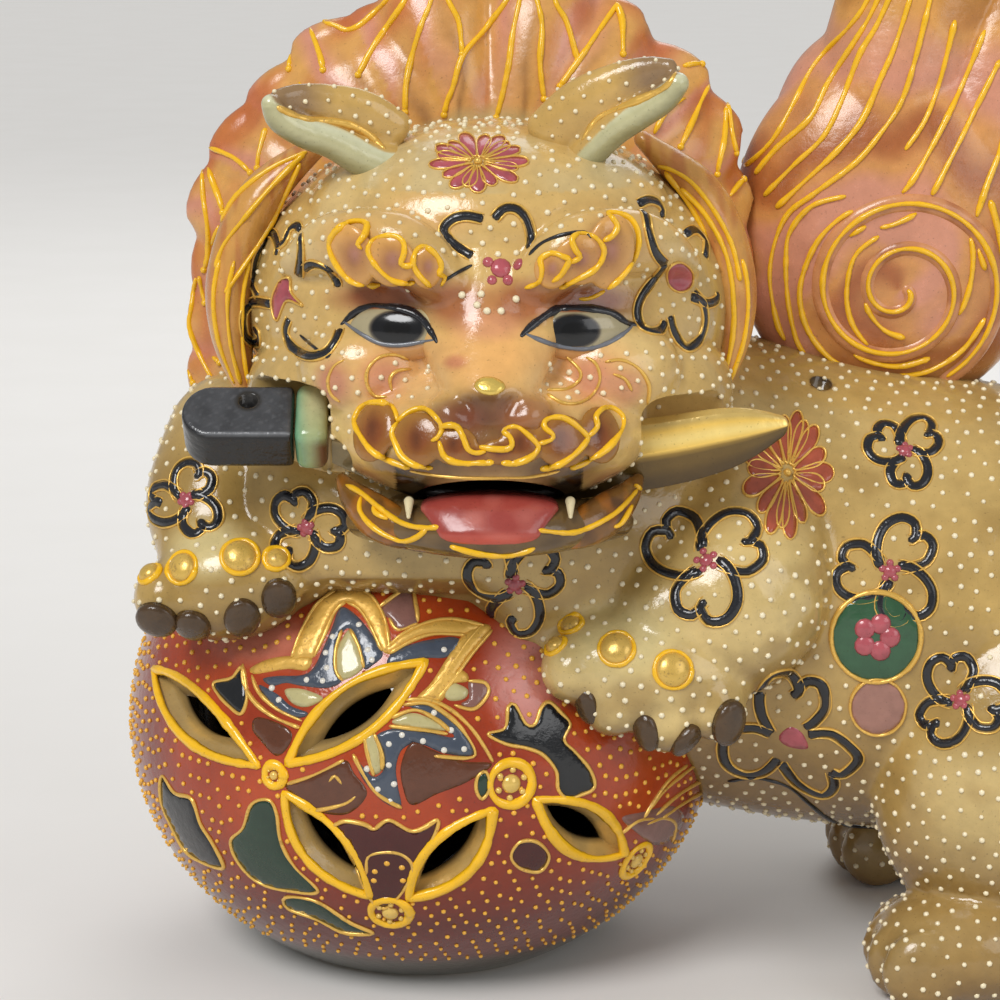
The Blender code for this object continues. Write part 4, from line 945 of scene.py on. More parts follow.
def roll(stations, sides=36, steps=6, across=(0.0, -1.0, 0.0)):
    """A roll of clay through stations of (x, y, z, half width, half thickness), pressed along across."""
    rows = smooth_stations(stations, steps)
    centres = [Vector(row[:3]) for row in rows]
    rings = []
    for index, row in enumerate(rows):
        ahead = (centres[min(index + 1, len(rows) - 1)] - centres[max(index - 1, 0)]).normalized()
        side = ahead.cross(Vector(across)).normalized()
        rings.append((centres[index], ahead, side, side.cross(ahead).normalized(), row[3], row[4]))
    layers = [end_ring(rings[0], -1.0, angle) for angle in (75, 60, 45, 30, 15)] + rings
    layers += [end_ring(rings[-1], 1.0, angle) for angle in (15, 30, 45, 60, 75)]
    points = []
    for centre, _, side, lift, width, thickness in layers:
        for step in range(sides):
            turn = 2 * math.pi * step / sides
            points.append(centre + side * width * math.cos(turn) + lift * thickness * math.sin(turn))
    faces = ring_faces(len(layers), sides)
    for ring, way, base in ((rings[0], -1.0, 0), (rings[-1], 1.0, len(points) - sides)):
        tip = len(points)
        points.append(ring[0] + ring[1] * way * min(ring[4], ring[5]))
        faces.extend((base + step, base + (step + 1) % sides, tip) for step in range(sides))
    return turn_outwards(shape_of("lump", points, faces))


def smooth_stations(stations, steps):
    rows = [stations[0], *stations, stations[-1]]
    result = []
    for before, start, end, after in zip(rows, rows[1:], rows[2:], rows[3:]):
        for step in range(steps):
            t = step / steps
            result.append(tuple(0.5 * (2 * b + (c - a) * t + (2 * a - 5 * b + 4 * c - d) * t * t
                                       + (3 * b - a - 3 * c + d) * t ** 3)
                                for a, b, c, d in zip(before, start, end, after)))
    result.append(tuple(stations[-1]))
    return result


def end_ring(ring, way, angle):
    centre, ahead, side, lift, width, thickness = ring
    lean = math.radians(angle)
    out = min(width, thickness) * math.sin(lean)
    return centre + ahead * way * out, ahead, side, lift, width * math.cos(lean), thickness * math.cos(lean)


def cast(name, lumps, grain, rounds):
    """One clay skin over lumps that run into each other, softened as slip softens a casting."""
    piece = join(lumps, name)
    finish_with(piece, "REMESH", mode="VOXEL", voxel_size=grain)
    finish_with(piece, "SMOOTH", factor=0.5, iterations=rounds)
    return piece


length = shoulder_reach + rump_reach
barrel_level = belly_clearance + barrel_height / 2
rise = ball_top - saddle_sink - barrel_level
stations = []
for along, climb, set_back, wide, tall in body_shapes:
    share = min(1.0, max(0.0, (along - 0.25) / 0.2))
    deep = chest_depth + (barrel_depth - chest_depth) * share
    high = chest_height + (barrel_height - chest_height) * share
    stations.append((-shoulder_reach + length * along, deep * set_back, barrel_level + rise * climb,
                     wide * deep / 2, tall * high / 2))
lumps = [roll(stations, 72, 6, (0.0, 0.0, 1.0))]
left_paw = ball_spot(-41.5, 37.5, paw_thickness * 0.40)
right_paw = ball_spot(42.8, 20.0, paw_thickness * 0.40)
thick = left_arm_radius
shoulder = Vector((-shoulder_reach + thick * 0.70, -chest_depth * 0.20, ball_top + thick * 0.35))
lumps.append(roll([(*shoulder, thick * 0.95, thick),
                   (*(shoulder + Vector((-0.12, -0.60, -0.60)) * thick), thick, thick * 0.95),
                   (*(left_paw + Vector((-0.12, 0.35, 0.30)) * thick), thick * 0.82, thick * 0.70)]))
thick = right_arm_radius
lumps.append(roll([(*(right_paw + Vector((0.82, 1.20, 1.05)) * thick), thick, thick * 1.05),
                   (*(right_paw + Vector((0.77, 0.45, 0.60)) * thick), thick * 0.92, thick * 0.90),
                   (*(right_paw + Vector((0.23, 0.23, 0.36)) * thick), thick * 0.74, thick * 0.60)]))
left_toes = [(-0.40, -0.08), (-0.19, -0.10), (0.08, -0.05), (0.30, 0.05)]
right_toes = [(-0.36, 0.04), (-0.17, -0.12), (0.08, -0.20), (0.31, -0.14)]
for centre, width, tilt, toes in ((left_paw, left_paw_width, -10.0, left_toes),
                                  (right_paw, right_paw_width, 10.0, right_toes)):
    lumps.append(egg(centre, (width * 0.50, paw_thickness * 0.55, paw_thickness * 0.56), (0.0, tilt, 0.0)))
    for x, z in toes:
        lumps.append(egg(centre + Vector((x * width, -paw_thickness * 0.18, z * width)),
                         (toe_radius * 1.02, toe_radius * 1.15, toe_radius * 1.1), fineness=4))
for side in (-1.0, 1.0):
    x = hind_toe_x + hind_foot_length * 0.75
    lumps.append(egg((x, side * thigh_spread, thigh_height * 0.58),
                     (thigh_length / 2, thigh_depth / 2, thigh_height * 0.46), (0.0, 16.0, 0.0)))
    outer = side * (thigh_spread + shin_radius * 0.3)
    lumps.append(roll([(x + shin_radius * 0.35, outer, thigh_height * 0.35, shin_radius, shin_radius * 0.95),
                       (x + shin_radius * 0.25, outer, shin_radius * 0.7, shin_radius * 0.82,
                        shin_radius * 0.78)]))
    heel = hind_toe_x + hind_foot_length - hind_foot_width * 0.4
    toe = hind_toe_x + hind_foot_width * 0.4
    across = side * (thigh_spread + shin_radius * 0.6)
    soles = ((heel, 0.42, 0.40, 0.46), ((heel + toe) / 2, 0.44, 0.46, 0.50), (toe, 0.40, 0.48, 0.44))
    lumps.append(roll([(sole, across, hind_foot_height * up, hind_foot_width * wide, hind_foot_height * tall)
                       for sole, up, wide, tall in soles], across=(0.0, 0.0, 1.0)))
    for number in range(4):
        spread = (number - 1.5) * hind_foot_width * 0.235
        reach = hind_foot_width * 0.25
        lumps.append(egg((hind_toe_x + reach * (1.0 + abs(number - 1.5) * 0.26), across + spread,
                          hind_foot_height * 0.36), (reach, hind_foot_width * 0.13, hind_foot_height * 0.36),
                         fineness=4))
body = cast("body_and_limbs", lumps, 0.00105, 7)
probe = Skin(body, "b8a070")
chest_line, chest_fall, chest_sides = 578.0, 60.0, (292.0, 330.0, 470.0, 520.0)
chest_lift, chest_front, pixel_size = 0.72, -0.012, 0.000205
sides = np.interp(probe.x, chest_sides, (0.0, 1.0, 1.0, 0.0))
below = np.clip(probe.y - chest_line, 0.0, chest_fall)
lifted = sides * below * chest_lift * (probe.spots[:, 1] < chest_front) * pixel_size
for vertex, climb in zip(body.data.vertices, lifted):
    vertex.co += Vector(lens_up) * climb
seat_overlap = 0.0004
seat_radius = ball_radius - seat_overlap
carve(body, egg(ball_centre, (seat_radius, seat_radius, ball_half_height - seat_overlap), fineness=6))
for vertex in body.data.vertices:
    vertex.co.z = max(vertex.co.z, 0.0)
probe = Skin(body, "b8a070")
vent_pixel = (821, 383)
vent_spot, vent_facing, _, _ = probe.tree.ray_cast(Vector(lens_place), lens_ray(*vent_pixel))
drill(body, vent_spot, vent_facing, vent_width / 2)
body_coat = Skin(body, "b59658")
body_coat.cloud("cdb478", 0.8, 0.055, 3, 1.1)
body_coat.cloud("8d7038", 0.6, 0.040, 4, 1.3)
body_coat.cloud("9a7c44", 0.6, 0.016, 6, 1.3, -0.2)
# Painted shade: the skin darkens towards the table and on faces that turn downwards.
body_coat.brush("6a4c28", 0.6 * fade(0.055 - body_coat.spots[:, 2], 0.05))
body_coat.brush("6f5028", 0.75 * fade(-body_coat.facing[:, 2] * 1.5 - 0.2))
# Painted light: two pale dabs where the light falls on the forepaws.
for spot, wide, tall in (((620, 640), 0.016, 0.010), ((205, 548), 0.012, 0.008)):
    body_coat.dab("cdbb84", spot, wide, tall, 0.9)
# Painted shade in and round the vent hole.
vent_gap = np.linalg.norm(body_coat.spots - np.array(vent_spot), axis=1)
body_coat.brush("3c2a18", fade(vent_width * 0.62 - vent_gap, 0.0005))
skin_glaze = fire("skin_khaki_glaze")


# The head is a separate casting: skull, brow ridges, cheeks, muzzle and a small nose, with the mouth
# cut open and notches in the cheeks where the dagger lies. Its face is washed in peach and
# orange-brown, darker round the eyes, with painted shade under the nose and inside the mouth.
head_aside, head_forward, head_lift = 0.0145, 0.027, 0.040
head_half_width, head_half_depth, head_half_height = 0.0500, 0.0430, 0.0400
muzzle_half_width, muzzle_reach = 0.0320, 0.0284
nose_radius = 0.0085
bridge_half_width = 0.0135
brow_ridge_radius = 0.0065
mouth_width, mouth_height = 0.029, 0.0110
head_centre = Vector((head_aside, -head_forward, ball_top + head_lift))
muzzle_front = head_centre.y - head_half_depth * 0.68 - muzzle_reach
mouth_level = head_centre.z - head_half_height * 0.93 + mouth_height * 0.35


def in_head(x, y, z):
    return head_centre + Vector((x * head_half_width, y * head_half_depth, z * head_half_height))


def head_lump(place, size):
    """An egg whose place and size are shares of the head's half measures."""
    wide, deep, tall = size
    return egg(in_head(*place), (head_half_width * wide, head_half_depth * deep, head_half_height * tall))


lumps = [head_lump((0.0, 0.0, -0.06), (1.0, 1.0, 0.95)), head_lump((0.0, -0.28, 0.42), (0.74, 0.66, 0.47)),
         egg(in_head(0.0, -0.68, -0.56), (muzzle_half_width, muzzle_reach, head_half_height * 0.37))]
ridge = ((0.16, -0.96, 0.18, 0.75), (0.34, -0.95, 0.36, 1.05), (0.60, -0.77, 0.36, 0.95),
         (0.78, -0.55, 0.22, 0.50))
for side in (-1.0, 1.0):
    lumps.append(head_lump((side * 0.56, -0.36, -0.44), (0.42, 0.52, 0.42)))
    lumps.append(head_lump((side * 0.46, -0.76, -0.26), (0.29, 0.26, 0.27)))
    lumps.append(roll([(*in_head(side * x, y, z), brow_ridge_radius * size, brow_ridge_radius * size * 0.8)
                       for x, y, z, size in ridge]))
    lumps.append(egg(in_head(side * 0.13, -1.19, -0.40),
                     (nose_radius * 0.68, nose_radius * 0.72, nose_radius * 0.55)))
lumps.append(roll([(*in_head(0.0, -0.82, 0.26), bridge_half_width, nose_radius * 0.8),
                   (*in_head(0.0, -0.97, -0.08), bridge_half_width, nose_radius * 0.85),
                   (*in_head(0.0, -1.20, -0.33), nose_radius * 0.95, nose_radius * 0.66)]))
head = cast("head_casting", lumps, 0.00075, 5)
mouth_ends = (muzzle_front - mouth_height, muzzle_front + muzzle_reach * 0.62)
carve(head, roll([(head_centre.x, end, mouth_level, mouth_width / 2, mouth_height / 2) for end in mouth_ends],
                 48, 3, (0.0, 0.0, 1.0)))
notches = {"grip": ((-0.070, -0.110, 0.1125), (-0.0165, -0.0500, 0.1345)),
           "tang": ((-0.040, -0.110, 0.1115), (-0.0122, -0.0530, 0.1240)),
           "blade": ((0.0440, -0.110, 0.1120), (0.090, -0.0535, 0.1320))}
notch_rounding = 0.004
for low, high in notches.values():
    notch = plain(bpy.ops.mesh.primitive_cube_add, Vector(high) - Vector(low), size=1.0,
                  location=(Vector(low) + Vector(high)) / 2)
    finish_with(notch, "BEVEL", width=notch_rounding, segments=6, limit_method="NONE")
    carve(head, notch)


def press(piece, spot, radius, push):
    """Pushes the clay round a place by a vector, as a thumb or a tool does."""
    for vertex in piece.data.vertices:
        gap = (vertex.co - spot).length / radius
        if gap < 2.5:
            vertex.co += Vector(push) * math.exp(-gap * gap)


probe = Skin(head, "c9ab78")
nostrils = [(466, 407), (513, 407)]
eye_corners = [(440, 322), (520, 318)]
for pixel in nostrils:
    press(head, probe.meet(*pixel), 0.0022, (0.0, 0.0016, 0.0006))
for pixel in eye_corners:
    press(head, probe.meet(*pixel), 0.0045, (0.0, 0.0012, 0.0))
head_coat = Skin(head, "cba866")
head_coat.cloud("d8bc80", 0.7, 0.035, 13)
head_coat.brush("a08650", 0.6 * fade(np.abs(head_coat.spots[:, 0] - head_centre.x) - 0.036, 0.012))
# Among the washes, the dark brown dab below the nose at pixel (489, 408) is painted shade under the nose and
# in the nostrils.
face_washes = [
    ("e0a864", (485, 350), 0.013, 0.015, 0.9), ("dca468", (400, 372), 0.015, 0.010, 0.8),
    ("dca468", (575, 374), 0.015, 0.010, 0.8), ("8a4a2a", (385, 296), 0.015, 0.0046, 0.95),
    ("8a4a2a", (585, 300), 0.015, 0.0046, 0.95), ("9c5a34", (455, 303), 0.009, 0.0060, 0.9),
    ("9c5a34", (522, 303), 0.009, 0.0060, 0.9), ("c08064", (487, 325), 0.009, 0.0040, 0.6),
    ("d8a86a", (430, 215), 0.012, 0.006, 0.6), ("c79a5a", (350, 240), 0.012, 0.010, 0.6),
    ("c79a5a", (620, 240), 0.012, 0.012, 0.6), ("b4705a", (332, 384), 0.0050, 0.0060, 0.8),
    ("c98368", (385, 378), 0.0060, 0.0050, 0.7), ("c98368", (590, 378), 0.0070, 0.0055, 0.7),
    ("bf7a5e", (628, 388), 0.0050, 0.0050, 0.6), ("c27a58", (455, 362), 0.0032, 0.0018, 0.8),
    ("e6c084", (430, 384), 0.0080, 0.0050, 0.7), ("e6c084", (545, 384), 0.0080, 0.0050, 0.7),
    ("5c3a1c", (489, 408), 0.0105, 0.0050, 0.95), ("6c4020", (489, 430), 0.0170, 0.0070, 0.85),
    ("7a3a2a", (452, 420), 0.0080, 0.0050, 0.6), ("a0603c", (535, 415), 0.0090, 0.0060, 0.6),
    ("5c3820", (420, 470), 0.0140, 0.0050, 0.85), ("5c3820", (560, 470), 0.0140, 0.0050, 0.85),
    ("7a4a26", (489, 462), 0.0080, 0.0050, 0.7), ("9a6448", (365, 482), 0.0060, 0.0040, 0.7),
    ("9a6448", (610, 490), 0.0070, 0.0040, 0.7)]
for colour, spot, wide, tall, strength in face_washes:
    head_coat.dab(colour, spot, wide, tall, strength)
# Painted shade: the inside of the mouth is darkened towards black the deeper it lies behind the lips.
in_mouth = ((np.abs(head_coat.spots[:, 2] - mouth_level) < mouth_height * 0.62)
            & (np.abs(head_coat.spots[:, 0] - head_centre.x) < mouth_width * 0.62))
buried = fade(head_coat.spots[:, 1] - muzzle_front - 0.0035, 0.003)
head_coat.brush("140a06", in_mouth * buried)
crown = head_coat.spots[:, 2] - head_centre.z > head_half_height * 0.62
head_coat.brush("b9ad86", 0.5 * crown * fade(clouds(head_coat.spots, 0.02, 15) + 0.6))


# Under the muzzle the chin, the tongue and two small canines are modelled by hand and pressed in
# before firing. The eyes are smooth almond domes: black iris, cream corners, a thick black lid line.
jaw_half_width, jaw_half_height = 0.0230, 0.0048
tongue_half_thickness = 0.0028
fang_length, fang_radius = 0.0024, 0.0010
level = mouth_level - mouth_height * 0.46
jaw_stations = ((-1.0, 0.90, -0.45, 0.85), (-0.55, 0.42, -0.1, 1.05), (0.0, 0.26, -0.1, 1.1),
                (0.55, 0.42, -0.1, 1.05), (1.0, 0.90, -0.45, 0.85))
rows = [(head_centre.x + jaw_half_width * aside, muzzle_front + muzzle_reach * back,
         level + jaw_half_height * up, jaw_half_height * 1.5 * size, jaw_half_height * size)
        for aside, back, up, size in jaw_stations]
lumps = [roll(rows, across=(0.0, 0.0, 1.0)),
         egg((head_centre.x, muzzle_front + muzzle_reach * 0.95, level - jaw_half_height * 0.3),
             (jaw_half_width, muzzle_reach * 0.75, jaw_half_height * 1.1))]
jaw = cast("chin_and_jaw", lumps, 0.0006, 4)
jaw_coat = Skin(jaw, "6a5230")
jaw_coat.cloud("46341e", 0.7, 0.012, 23)
jaw_coat.dab("3a2314", (490, 528), 0.012, 0.0022, 0.9)
tongue_stations = ((0.50, 0.11, 0.96, 0.85), (0.26, 0.09, 1.0, 1.0), (0.17, 0.14, 0.94, 1.05),
                   (0.06, 0.44, 0.74, 0.95))
rows = [(head_centre.x, muzzle_front + muzzle_reach * back, mouth_level - mouth_height * lower,
         (mouth_width / 2 - fang_radius) * wide, tongue_half_thickness * deep)
        for back, lower, wide, deep in tongue_stations]
tongue = cast("tongue_roll", [roll(rows, across=(0.0, 0.0, 1.0))], 0.0005, 3)
tongue_coat = Skin(tongue, "9a4038")
tongue_coat.cloud("b8685c", 0.8, 0.008, 24)
tongue_coat.brush("c8503a", 0.8 * fade(mouth_level - 0.004 - tongue_coat.spots[:, 2], 0.002))
fangs = []
for word, side in (("left", -1.0), ("right", 1.0)):
    x = head_centre.x + side * (mouth_width / 2 + fang_radius)
    root = mouth_level + mouth_height * 0.02
    point = fang_radius * 0.4
    fang = roll([(x, muzzle_front + muzzle_reach * 0.26, root, fang_radius, fang_radius),
                 (x, muzzle_front + muzzle_reach * 0.16, root - fang_length, point, point)], 20, 8)
    fang.name = "canine_" + word
    fangs.append(fang)
ivory = fire("fang_ivory_glaze", "d6c8a0", 0.14, 0.0, 0.3)
for word, fang in zip(("left", "right"), fangs):
    set_down(fang, ivory, ("fang_" + word,))
wet_glaze = fire("eye_and_tongue_glaze", None, 0.14, 0.0, 0.25, 0.10)
jaw_coat.dry(skin_glaze, "beard_ochre", ("lower_jaw",))
tongue_coat.dry(fire("tongue_red_glaze", None, 0.24, 0.0, 0.25, 0.2), "tongue_red", ("tongue",))
eye_half_width, eye_half_depth, eye_half_height, eye_aside = 0.0098, 0.0036, 0.0056, 0.0180
face_middle = 485.0
eyes = {}
iris_pixels = {"left": (397, 328, 25.0, 16.0), "right": (574, 331, 24.0, 15.5)}
for word, side in (("left", -1.0), ("right", 1.0)):
    x = head_centre.x + side * eye_aside
    spot, facing = straight(head_coat, x, head_centre.z - head_half_height * 0.05)
    eye = egg(spot - facing * eye_half_depth * 0.2, (eye_half_width, eye_half_depth, eye_half_height),
              (0.0, 0.0, side * 16.0), 6)
    eye.name = "eye_dome_" + word
    coat = Skin(eye, "a39878")
    centre_x, centre_y, wide, tall = iris_pixels[word]
    gap = np.hypot((coat.x - centre_x) / wide, (coat.y - centre_y) / tall)
    corner = face_middle - np.abs(coat.x - face_middle)
    coat.brush("d0c394", fade(gap - 1.25, 0.2) * fade(corner - 400.0, 12.0))
    coat.brush("4a443c", fade(1.18 - gap, 0.10) * coat.front)
    coat.brush("101114", fade(1.06 - gap, 0.07) * coat.front)
    coat.brush("050506", fade(0.60 - gap, 0.10) * coat.front)
    coat.brush("cf9c66", fade(coat.y - centre_y - 15.5, 2.0))
    coat.brush("8a4a2a", fade(centre_y - 18.0 - coat.y, 2.0))
    eyes[word] = coat


# Brows, moustache and beard are curled scrolls of clay laid on the face, orange-brown in their
# hollows. Their yellow outlines, and all other lines of the face, are squeezed on later.
def frame_on(skin, x, y, turn):
    """The place behind a pixel and a matrix whose axes run right, up and out of the skin there."""
    spot, facing, _, _ = skin.tree.ray_cast(Vector(lens_place), lens_ray(x, y))
    if spot is None:
        spot, facing = skin.tree.find_nearest(skin.meet(x, y))[:2]
    side = Vector(lens_up).cross(facing).normalized()
    upright = facing.cross(side)
    spin = Matrix.Rotation(math.radians(turn), 3, "Z")
    return spot, Matrix((side, upright, facing)).transposed() @ spin


def pebbles(name, rows, grain=0.0005, rounds=3, skin=None):
    """A scroll made of flat pebbles: (pixel x, y, half width, half height, proud, turn)."""
    lumps = []
    for x, y, wide, tall, proud, turn in rows:
        spot, axes = frame_on(skin or head_coat, x, y, turn)
        lumps.append(egg(spot, (wide, tall, proud), axes, 4))
    return cast(name, lumps, grain, rounds)


brow_rows = {
    "left": [(353, 256, 0.0054, 0.0064, 0.0017, 0), (391, 261, 0.0050, 0.0052, 0.0016, 0),
             (427, 268, 0.0030, 0.0042, 0.0012, 0)],
    "right": [(551, 270, 0.0034, 0.0038, 0.0012, 0), (580, 260, 0.0052, 0.0050, 0.0016, 0),
              (610, 252, 0.0054, 0.0074, 0.0017, 0)]}
moustache_rows = {
    "left": [(374, 431, 0.0052, 0.0062, 0.0015, 0), (418, 440, 0.0054, 0.0054, 0.0014, 0),
             (455, 446, 0.0046, 0.0038, 0.0012, 0), (476, 455, 0.0032, 0.0020, 0.0010, 0)],
    "right": [(501, 452, 0.0040, 0.0026, 0.0010, 0), (522, 444, 0.0046, 0.0038, 0.0012, 0),
              (562, 441, 0.0058, 0.0052, 0.0014, 0), (600, 435, 0.0050, 0.0056, 0.0015, 0)]}
scroll_glaze = fire("scroll_orange_glaze")
scrolls = {}
for word in ("left", "right"):
    brow = Skin(pebbles("brow_scroll_" + word, brow_rows[word], 0.0004), "cf9a55")
    for x, y, wide, tall, _, _ in brow_rows[word]:
        brow.dab("8a5030", (x, y), wide * 0.75, tall * 0.8, 0.8, 0.8)
        brow.dab("b07c72", (x + 2, y - 2), wide * 0.35, tall * 0.4, 0.5, 0.9)
        head_coat.dab("c08a50", (x, y - 2), wide * 1.0, tall * 1.0, 0.8)
    lip = Skin(pebbles("moustache_scroll_" + word, moustache_rows[word], 0.0004), "9a6a2c")
    for x, y, wide, tall, _, _ in moustache_rows[word]:
        lip.dab("7a3c1c", (x, y), wide * 0.85, tall * 0.9, 0.85, 0.7)
        lip.dab("4f2a18", (x - 2, y - 2), wide * 0.30, tall * 0.70, 0.60, 0.9)
        head_coat.dab("96612c", (x, y - 4), wide * 1.02, tall * 1.05, 0.9)
    scrolls["brow_" + word], scrolls["moustache_" + word] = brow, lip
beard_radius = 0.0062
beard_stations = ((0.24, 1.17, -1.00, 0.34), (0.34, 1.12, -0.98, 0.62), (0.45, 1.02, -0.93, 0.70),
                  (0.54, 0.88, -0.86, 0.46), (0.59, 0.76, -0.80, 0.20))
for word, side in (("left", -1.0), ("right", 1.0)):
    rows = [(*in_head(side * aside, -forward, up), beard_radius * size, beard_radius * size * 0.7)
            for aside, forward, up, size in beard_stations]
    tuft = cast("beard_tuft_" + word, [roll(rows)], 0.0005, 3)
    beard = Skin(tuft, "7a5220")
    beard.cloud("573718", 0.8, 0.008, 35, 1.6)
    beard.cloud("a8641c", 0.6, 0.006, 36, 1.4)
    scrolls["beard_" + word] = beard


# The ears are thick folded leaves: a pale celadon lower lip, a dotted tan back with a mauve tip, and a
# gold line along the fold. They stand out sideways from the hairline.
ear_depths = (-0.046, -0.054)
ear_backs = {
    "left": [
        (392, 134, 0.0050), (362, 113, 0.0046), (326, 103, 0.0038), (296, 98, 0.0028), (278, 98, 0.0018)],
    "right": [
        (556, 140, 0.0070), (586, 110, 0.0066), (620, 87, 0.0050), (650, 74, 0.0036), (670, 69, 0.0022)]}
ear_lips = {
    "left": [
        (392, 168, 0.0042), (366, 160, 0.0038), (334, 143, 0.0033), (302, 132, 0.0030), (280, 119, 0.0027),
        (271, 104, 0.0020)],
    "right": [
        (562, 176, 0.0030), (587, 154, 0.0034), (612, 131, 0.0033), (638, 114, 0.0032), (662, 99, 0.0030),
        (677, 84, 0.0024)]}


def at_depth(x, y, depth):
    """The place behind a pixel at a depth in the row frame."""
    ray = lens_ray(x, y)
    return Vector(lens_place) + ray * ((depth - lens_place[1]) / ray.y)


ears = {}
for word in ("left", "right"):
    lumps = []
    for rows, flat, forward in ((ear_backs[word], 0.55, 0.0), (ear_lips[word], 1.0, 0.0022)):
        stations = []
        for number, (x, y, half_height) in enumerate(rows):
            share = number / (len(rows) - 1)
            depth = ear_depths[0] + (ear_depths[1] - ear_depths[0]) * share - forward
            stations.append((*at_depth(x, y, depth), half_height, max(half_height * flat, 0.0016)))
        lumps.append(roll(stations, 36, 8))
    ear = Skin(cast("ear_leaf_" + word, lumps, 0.00050, 3), "c09c58")
    gaps = []
    for rows in (ear_lips[word], ear_backs[word]):
        line = smooth_path(rows, 1.0)
        gaps.append(np.min(np.hypot(ear.x[:, None] - line[None, :, 0], ear.y[:, None] - line[None, :, 1])
                           - line[None, :, 2] * 5150.0, axis=1))
    on_lip = fade(gaps[1] - gaps[0] + 1.0, 3.0)
    tips = np.array(ear_backs[word][-1][:2], float)
    near_tip = fade(58.0 - np.hypot(ear.x - tips[0], ear.y - tips[1]), 30.0)
    ear.brush("8a6e50", near_tip * 0.9)
    ear.brush("b8b48a", on_lip)
    # Painted light and shade on the celadon lip: paler where it faces up, darker where it faces down.
    ear.brush("cfcfae", on_lip * fade((ear.facing[:, 2] - 0.1) * 1.5))
    ear.brush("7d7850", on_lip * 0.8 * fade(-ear.facing[:, 2] * 1.5 - 0.2))
    base = np.array(ear_lips[word][0][:2], float)
    ear.brush("8a5a2c", 0.7 * fade(16.0 - np.hypot(ear.x - base[0], ear.y - base[1] - 8.0), 10.0))
    ear.lip = on_lip
    ears[word] = ear


# The mane is a fan of flame locks behind the head, with a long lock in front of it on each side and
# broad hair down the nape: orange, mauve and ochre glaze under long yellow slip lines.
mane_reach, mane_thickness, mane_sway = 0.067, 0.022, 0.0025
lock_radius, side_lock_radius = 0.0115, 0.0040
nape_thickness = 0.020
mane_locks = [
    (-36, 0.87, 1), (-23, 0.83, 1), (-10, 0.96, 1), (9, 0.95, -1), (25, 0.86, -1), (-50, 0.87, 1),
    (-63, 0.90, 1), (-76, 0.92, 1), (-90, 0.90, 0.5), (-103, 0.94, 0.5), (-114, 1.00, 0.5), (43, 0.85, -1),
    (56, 0.84, -1), (71, 0.79, -1), (87, 0.78, -0.5), (103, 0.79, -0.5), (117, 0.86, -0.5)]
mane_centre = head_centre + Vector((0.0, 0.0, head_half_height * 0.075))


def flame(root, tip, radius, bend, depth, thickness):
    """One flame lock from root to tip, both (x, z), at a depth, bowed sideways by bend."""
    start = Vector((root[0], depth, root[1]))
    end = Vector((tip[0], depth + thickness * 0.2, tip[1]))
    run = end - start
    aside = Vector((-run.z, 0.0, run.x)).normalized() * bend
    near, far = start + run * 0.38 + aside, start + run * 0.74 + aside * 0.8
    return roll([(*start, radius * 0.95, thickness / 2), (*near, radius, thickness / 2),
                 (*far, radius * 1.02, thickness * 0.40), (*end, radius * 0.72, thickness * 0.17)])


lumps = []
for angle, reach, sway in mane_locks:
    turn = math.radians(angle)
    way = (math.sin(turn), math.cos(turn))
    inner = head_half_width * 0.62
    root = (mane_centre.x + way[0] * inner, mane_centre.z + way[1] * inner)
    tip = (mane_centre.x + way[0] * mane_reach * reach, mane_centre.z + way[1] * mane_reach * reach)
    lumps.append(flame(root, tip, lock_radius, mane_sway * sway, -mane_thickness * 0.18, mane_thickness))
back = head_centre.y + head_half_depth * 0.62
lumps.append(egg((head_centre.x, back, head_centre.z + head_half_height * 0.1),
                 (head_half_width * 0.84, nape_thickness, head_half_height * 1.02)))
for number in range(-2, 3):
    nape_stations = ((0.30, 0.60, 0.34, 1.00, 0.50), (0.32, 0.95, -0.34, 0.94, 0.45),
                     (0.36, 0.70, -1.02 + 0.10 * abs(number), 0.40, 0.22))
    lumps.append(roll([(head_centre.x + number * head_half_width * fan, back + nape_thickness * out,
                        head_centre.z + head_half_height * up, lock_radius * wide, nape_thickness * thick)
                       for fan, out, up, wide, thick in nape_stations]))
mane = cast("flame_mane", lumps, 0.00085, 9)
mane_coat = Skin(mane, "d09a52")
aside = mane_coat.spots[:, 0] - mane_centre.x
above = mane_coat.spots[:, 2] - mane_centre.z
angle = np.degrees(np.arctan2(aside, above))
far = np.hypot(aside, above)
angles = np.array([lock[0] for lock in mane_locks], float)
reaches = np.array([lock[1] for lock in mane_locks]) * mane_reach
nearest = np.argmin(np.abs(angle[:, None] - angles[None, :]), 1)
across = np.radians(angle - angles[nearest]) * far / lock_radius
inner = head_half_width * 0.62
along = np.clip((far - inner) / (reaches[nearest] - inner), 0, 1.2)
mist = clouds(mane_coat.spots, 0.016, 51)
mane_coat.brush("c07a4a", 0.9 * np.exp(-((across - 0.45) / 0.32) ** 2) * fade(0.4 + mist))
mane_coat.brush("c98872", 0.9 * np.exp(-((across + 0.35 + mist * 0.2) / 0.26) ** 2) * fade(along * 1.6))
mane_coat.brush("b5602f", 0.8 * fade(along - 0.70, 0.3) * fade(mist * 1.2 + 0.2))
mane_coat.brush("7c4f2a", 0.75 * np.exp(-((across - 0.02 + mist * 0.15) / 0.09) ** 2) * fade(1.0 - along))
# Painted shade in the grooves between the locks.
mane_coat.brush("7a4826", 0.8 * np.exp(-((np.abs(across) - 0.95) / 0.14) ** 2))
in_front = (np.abs(angle) < 60) & (mane_coat.facing[:, 1] < 0.0)
mane_coat.brush("b5a878", 0.8 * fade(0.12 - along, 0.12) * in_front)
mane_glaze = fire("mane_orange_glaze", None, 0.26)
mane_coat.dry(mane_glaze, "mane_orange", ("mane_crest", "mane_left", "mane_right", "mane_nape"))
side_locks, lock_rows = {}, {}
side_lock_stations = ((0.66, 0.80, -0.12, 0.45), (0.92, 0.52, -0.12, 1.15), (1.04, 0.14, -0.13, 1.35),
                      (1.05, -0.18, -0.18, 1.10), (0.99, -0.50, -0.26, 0.40))
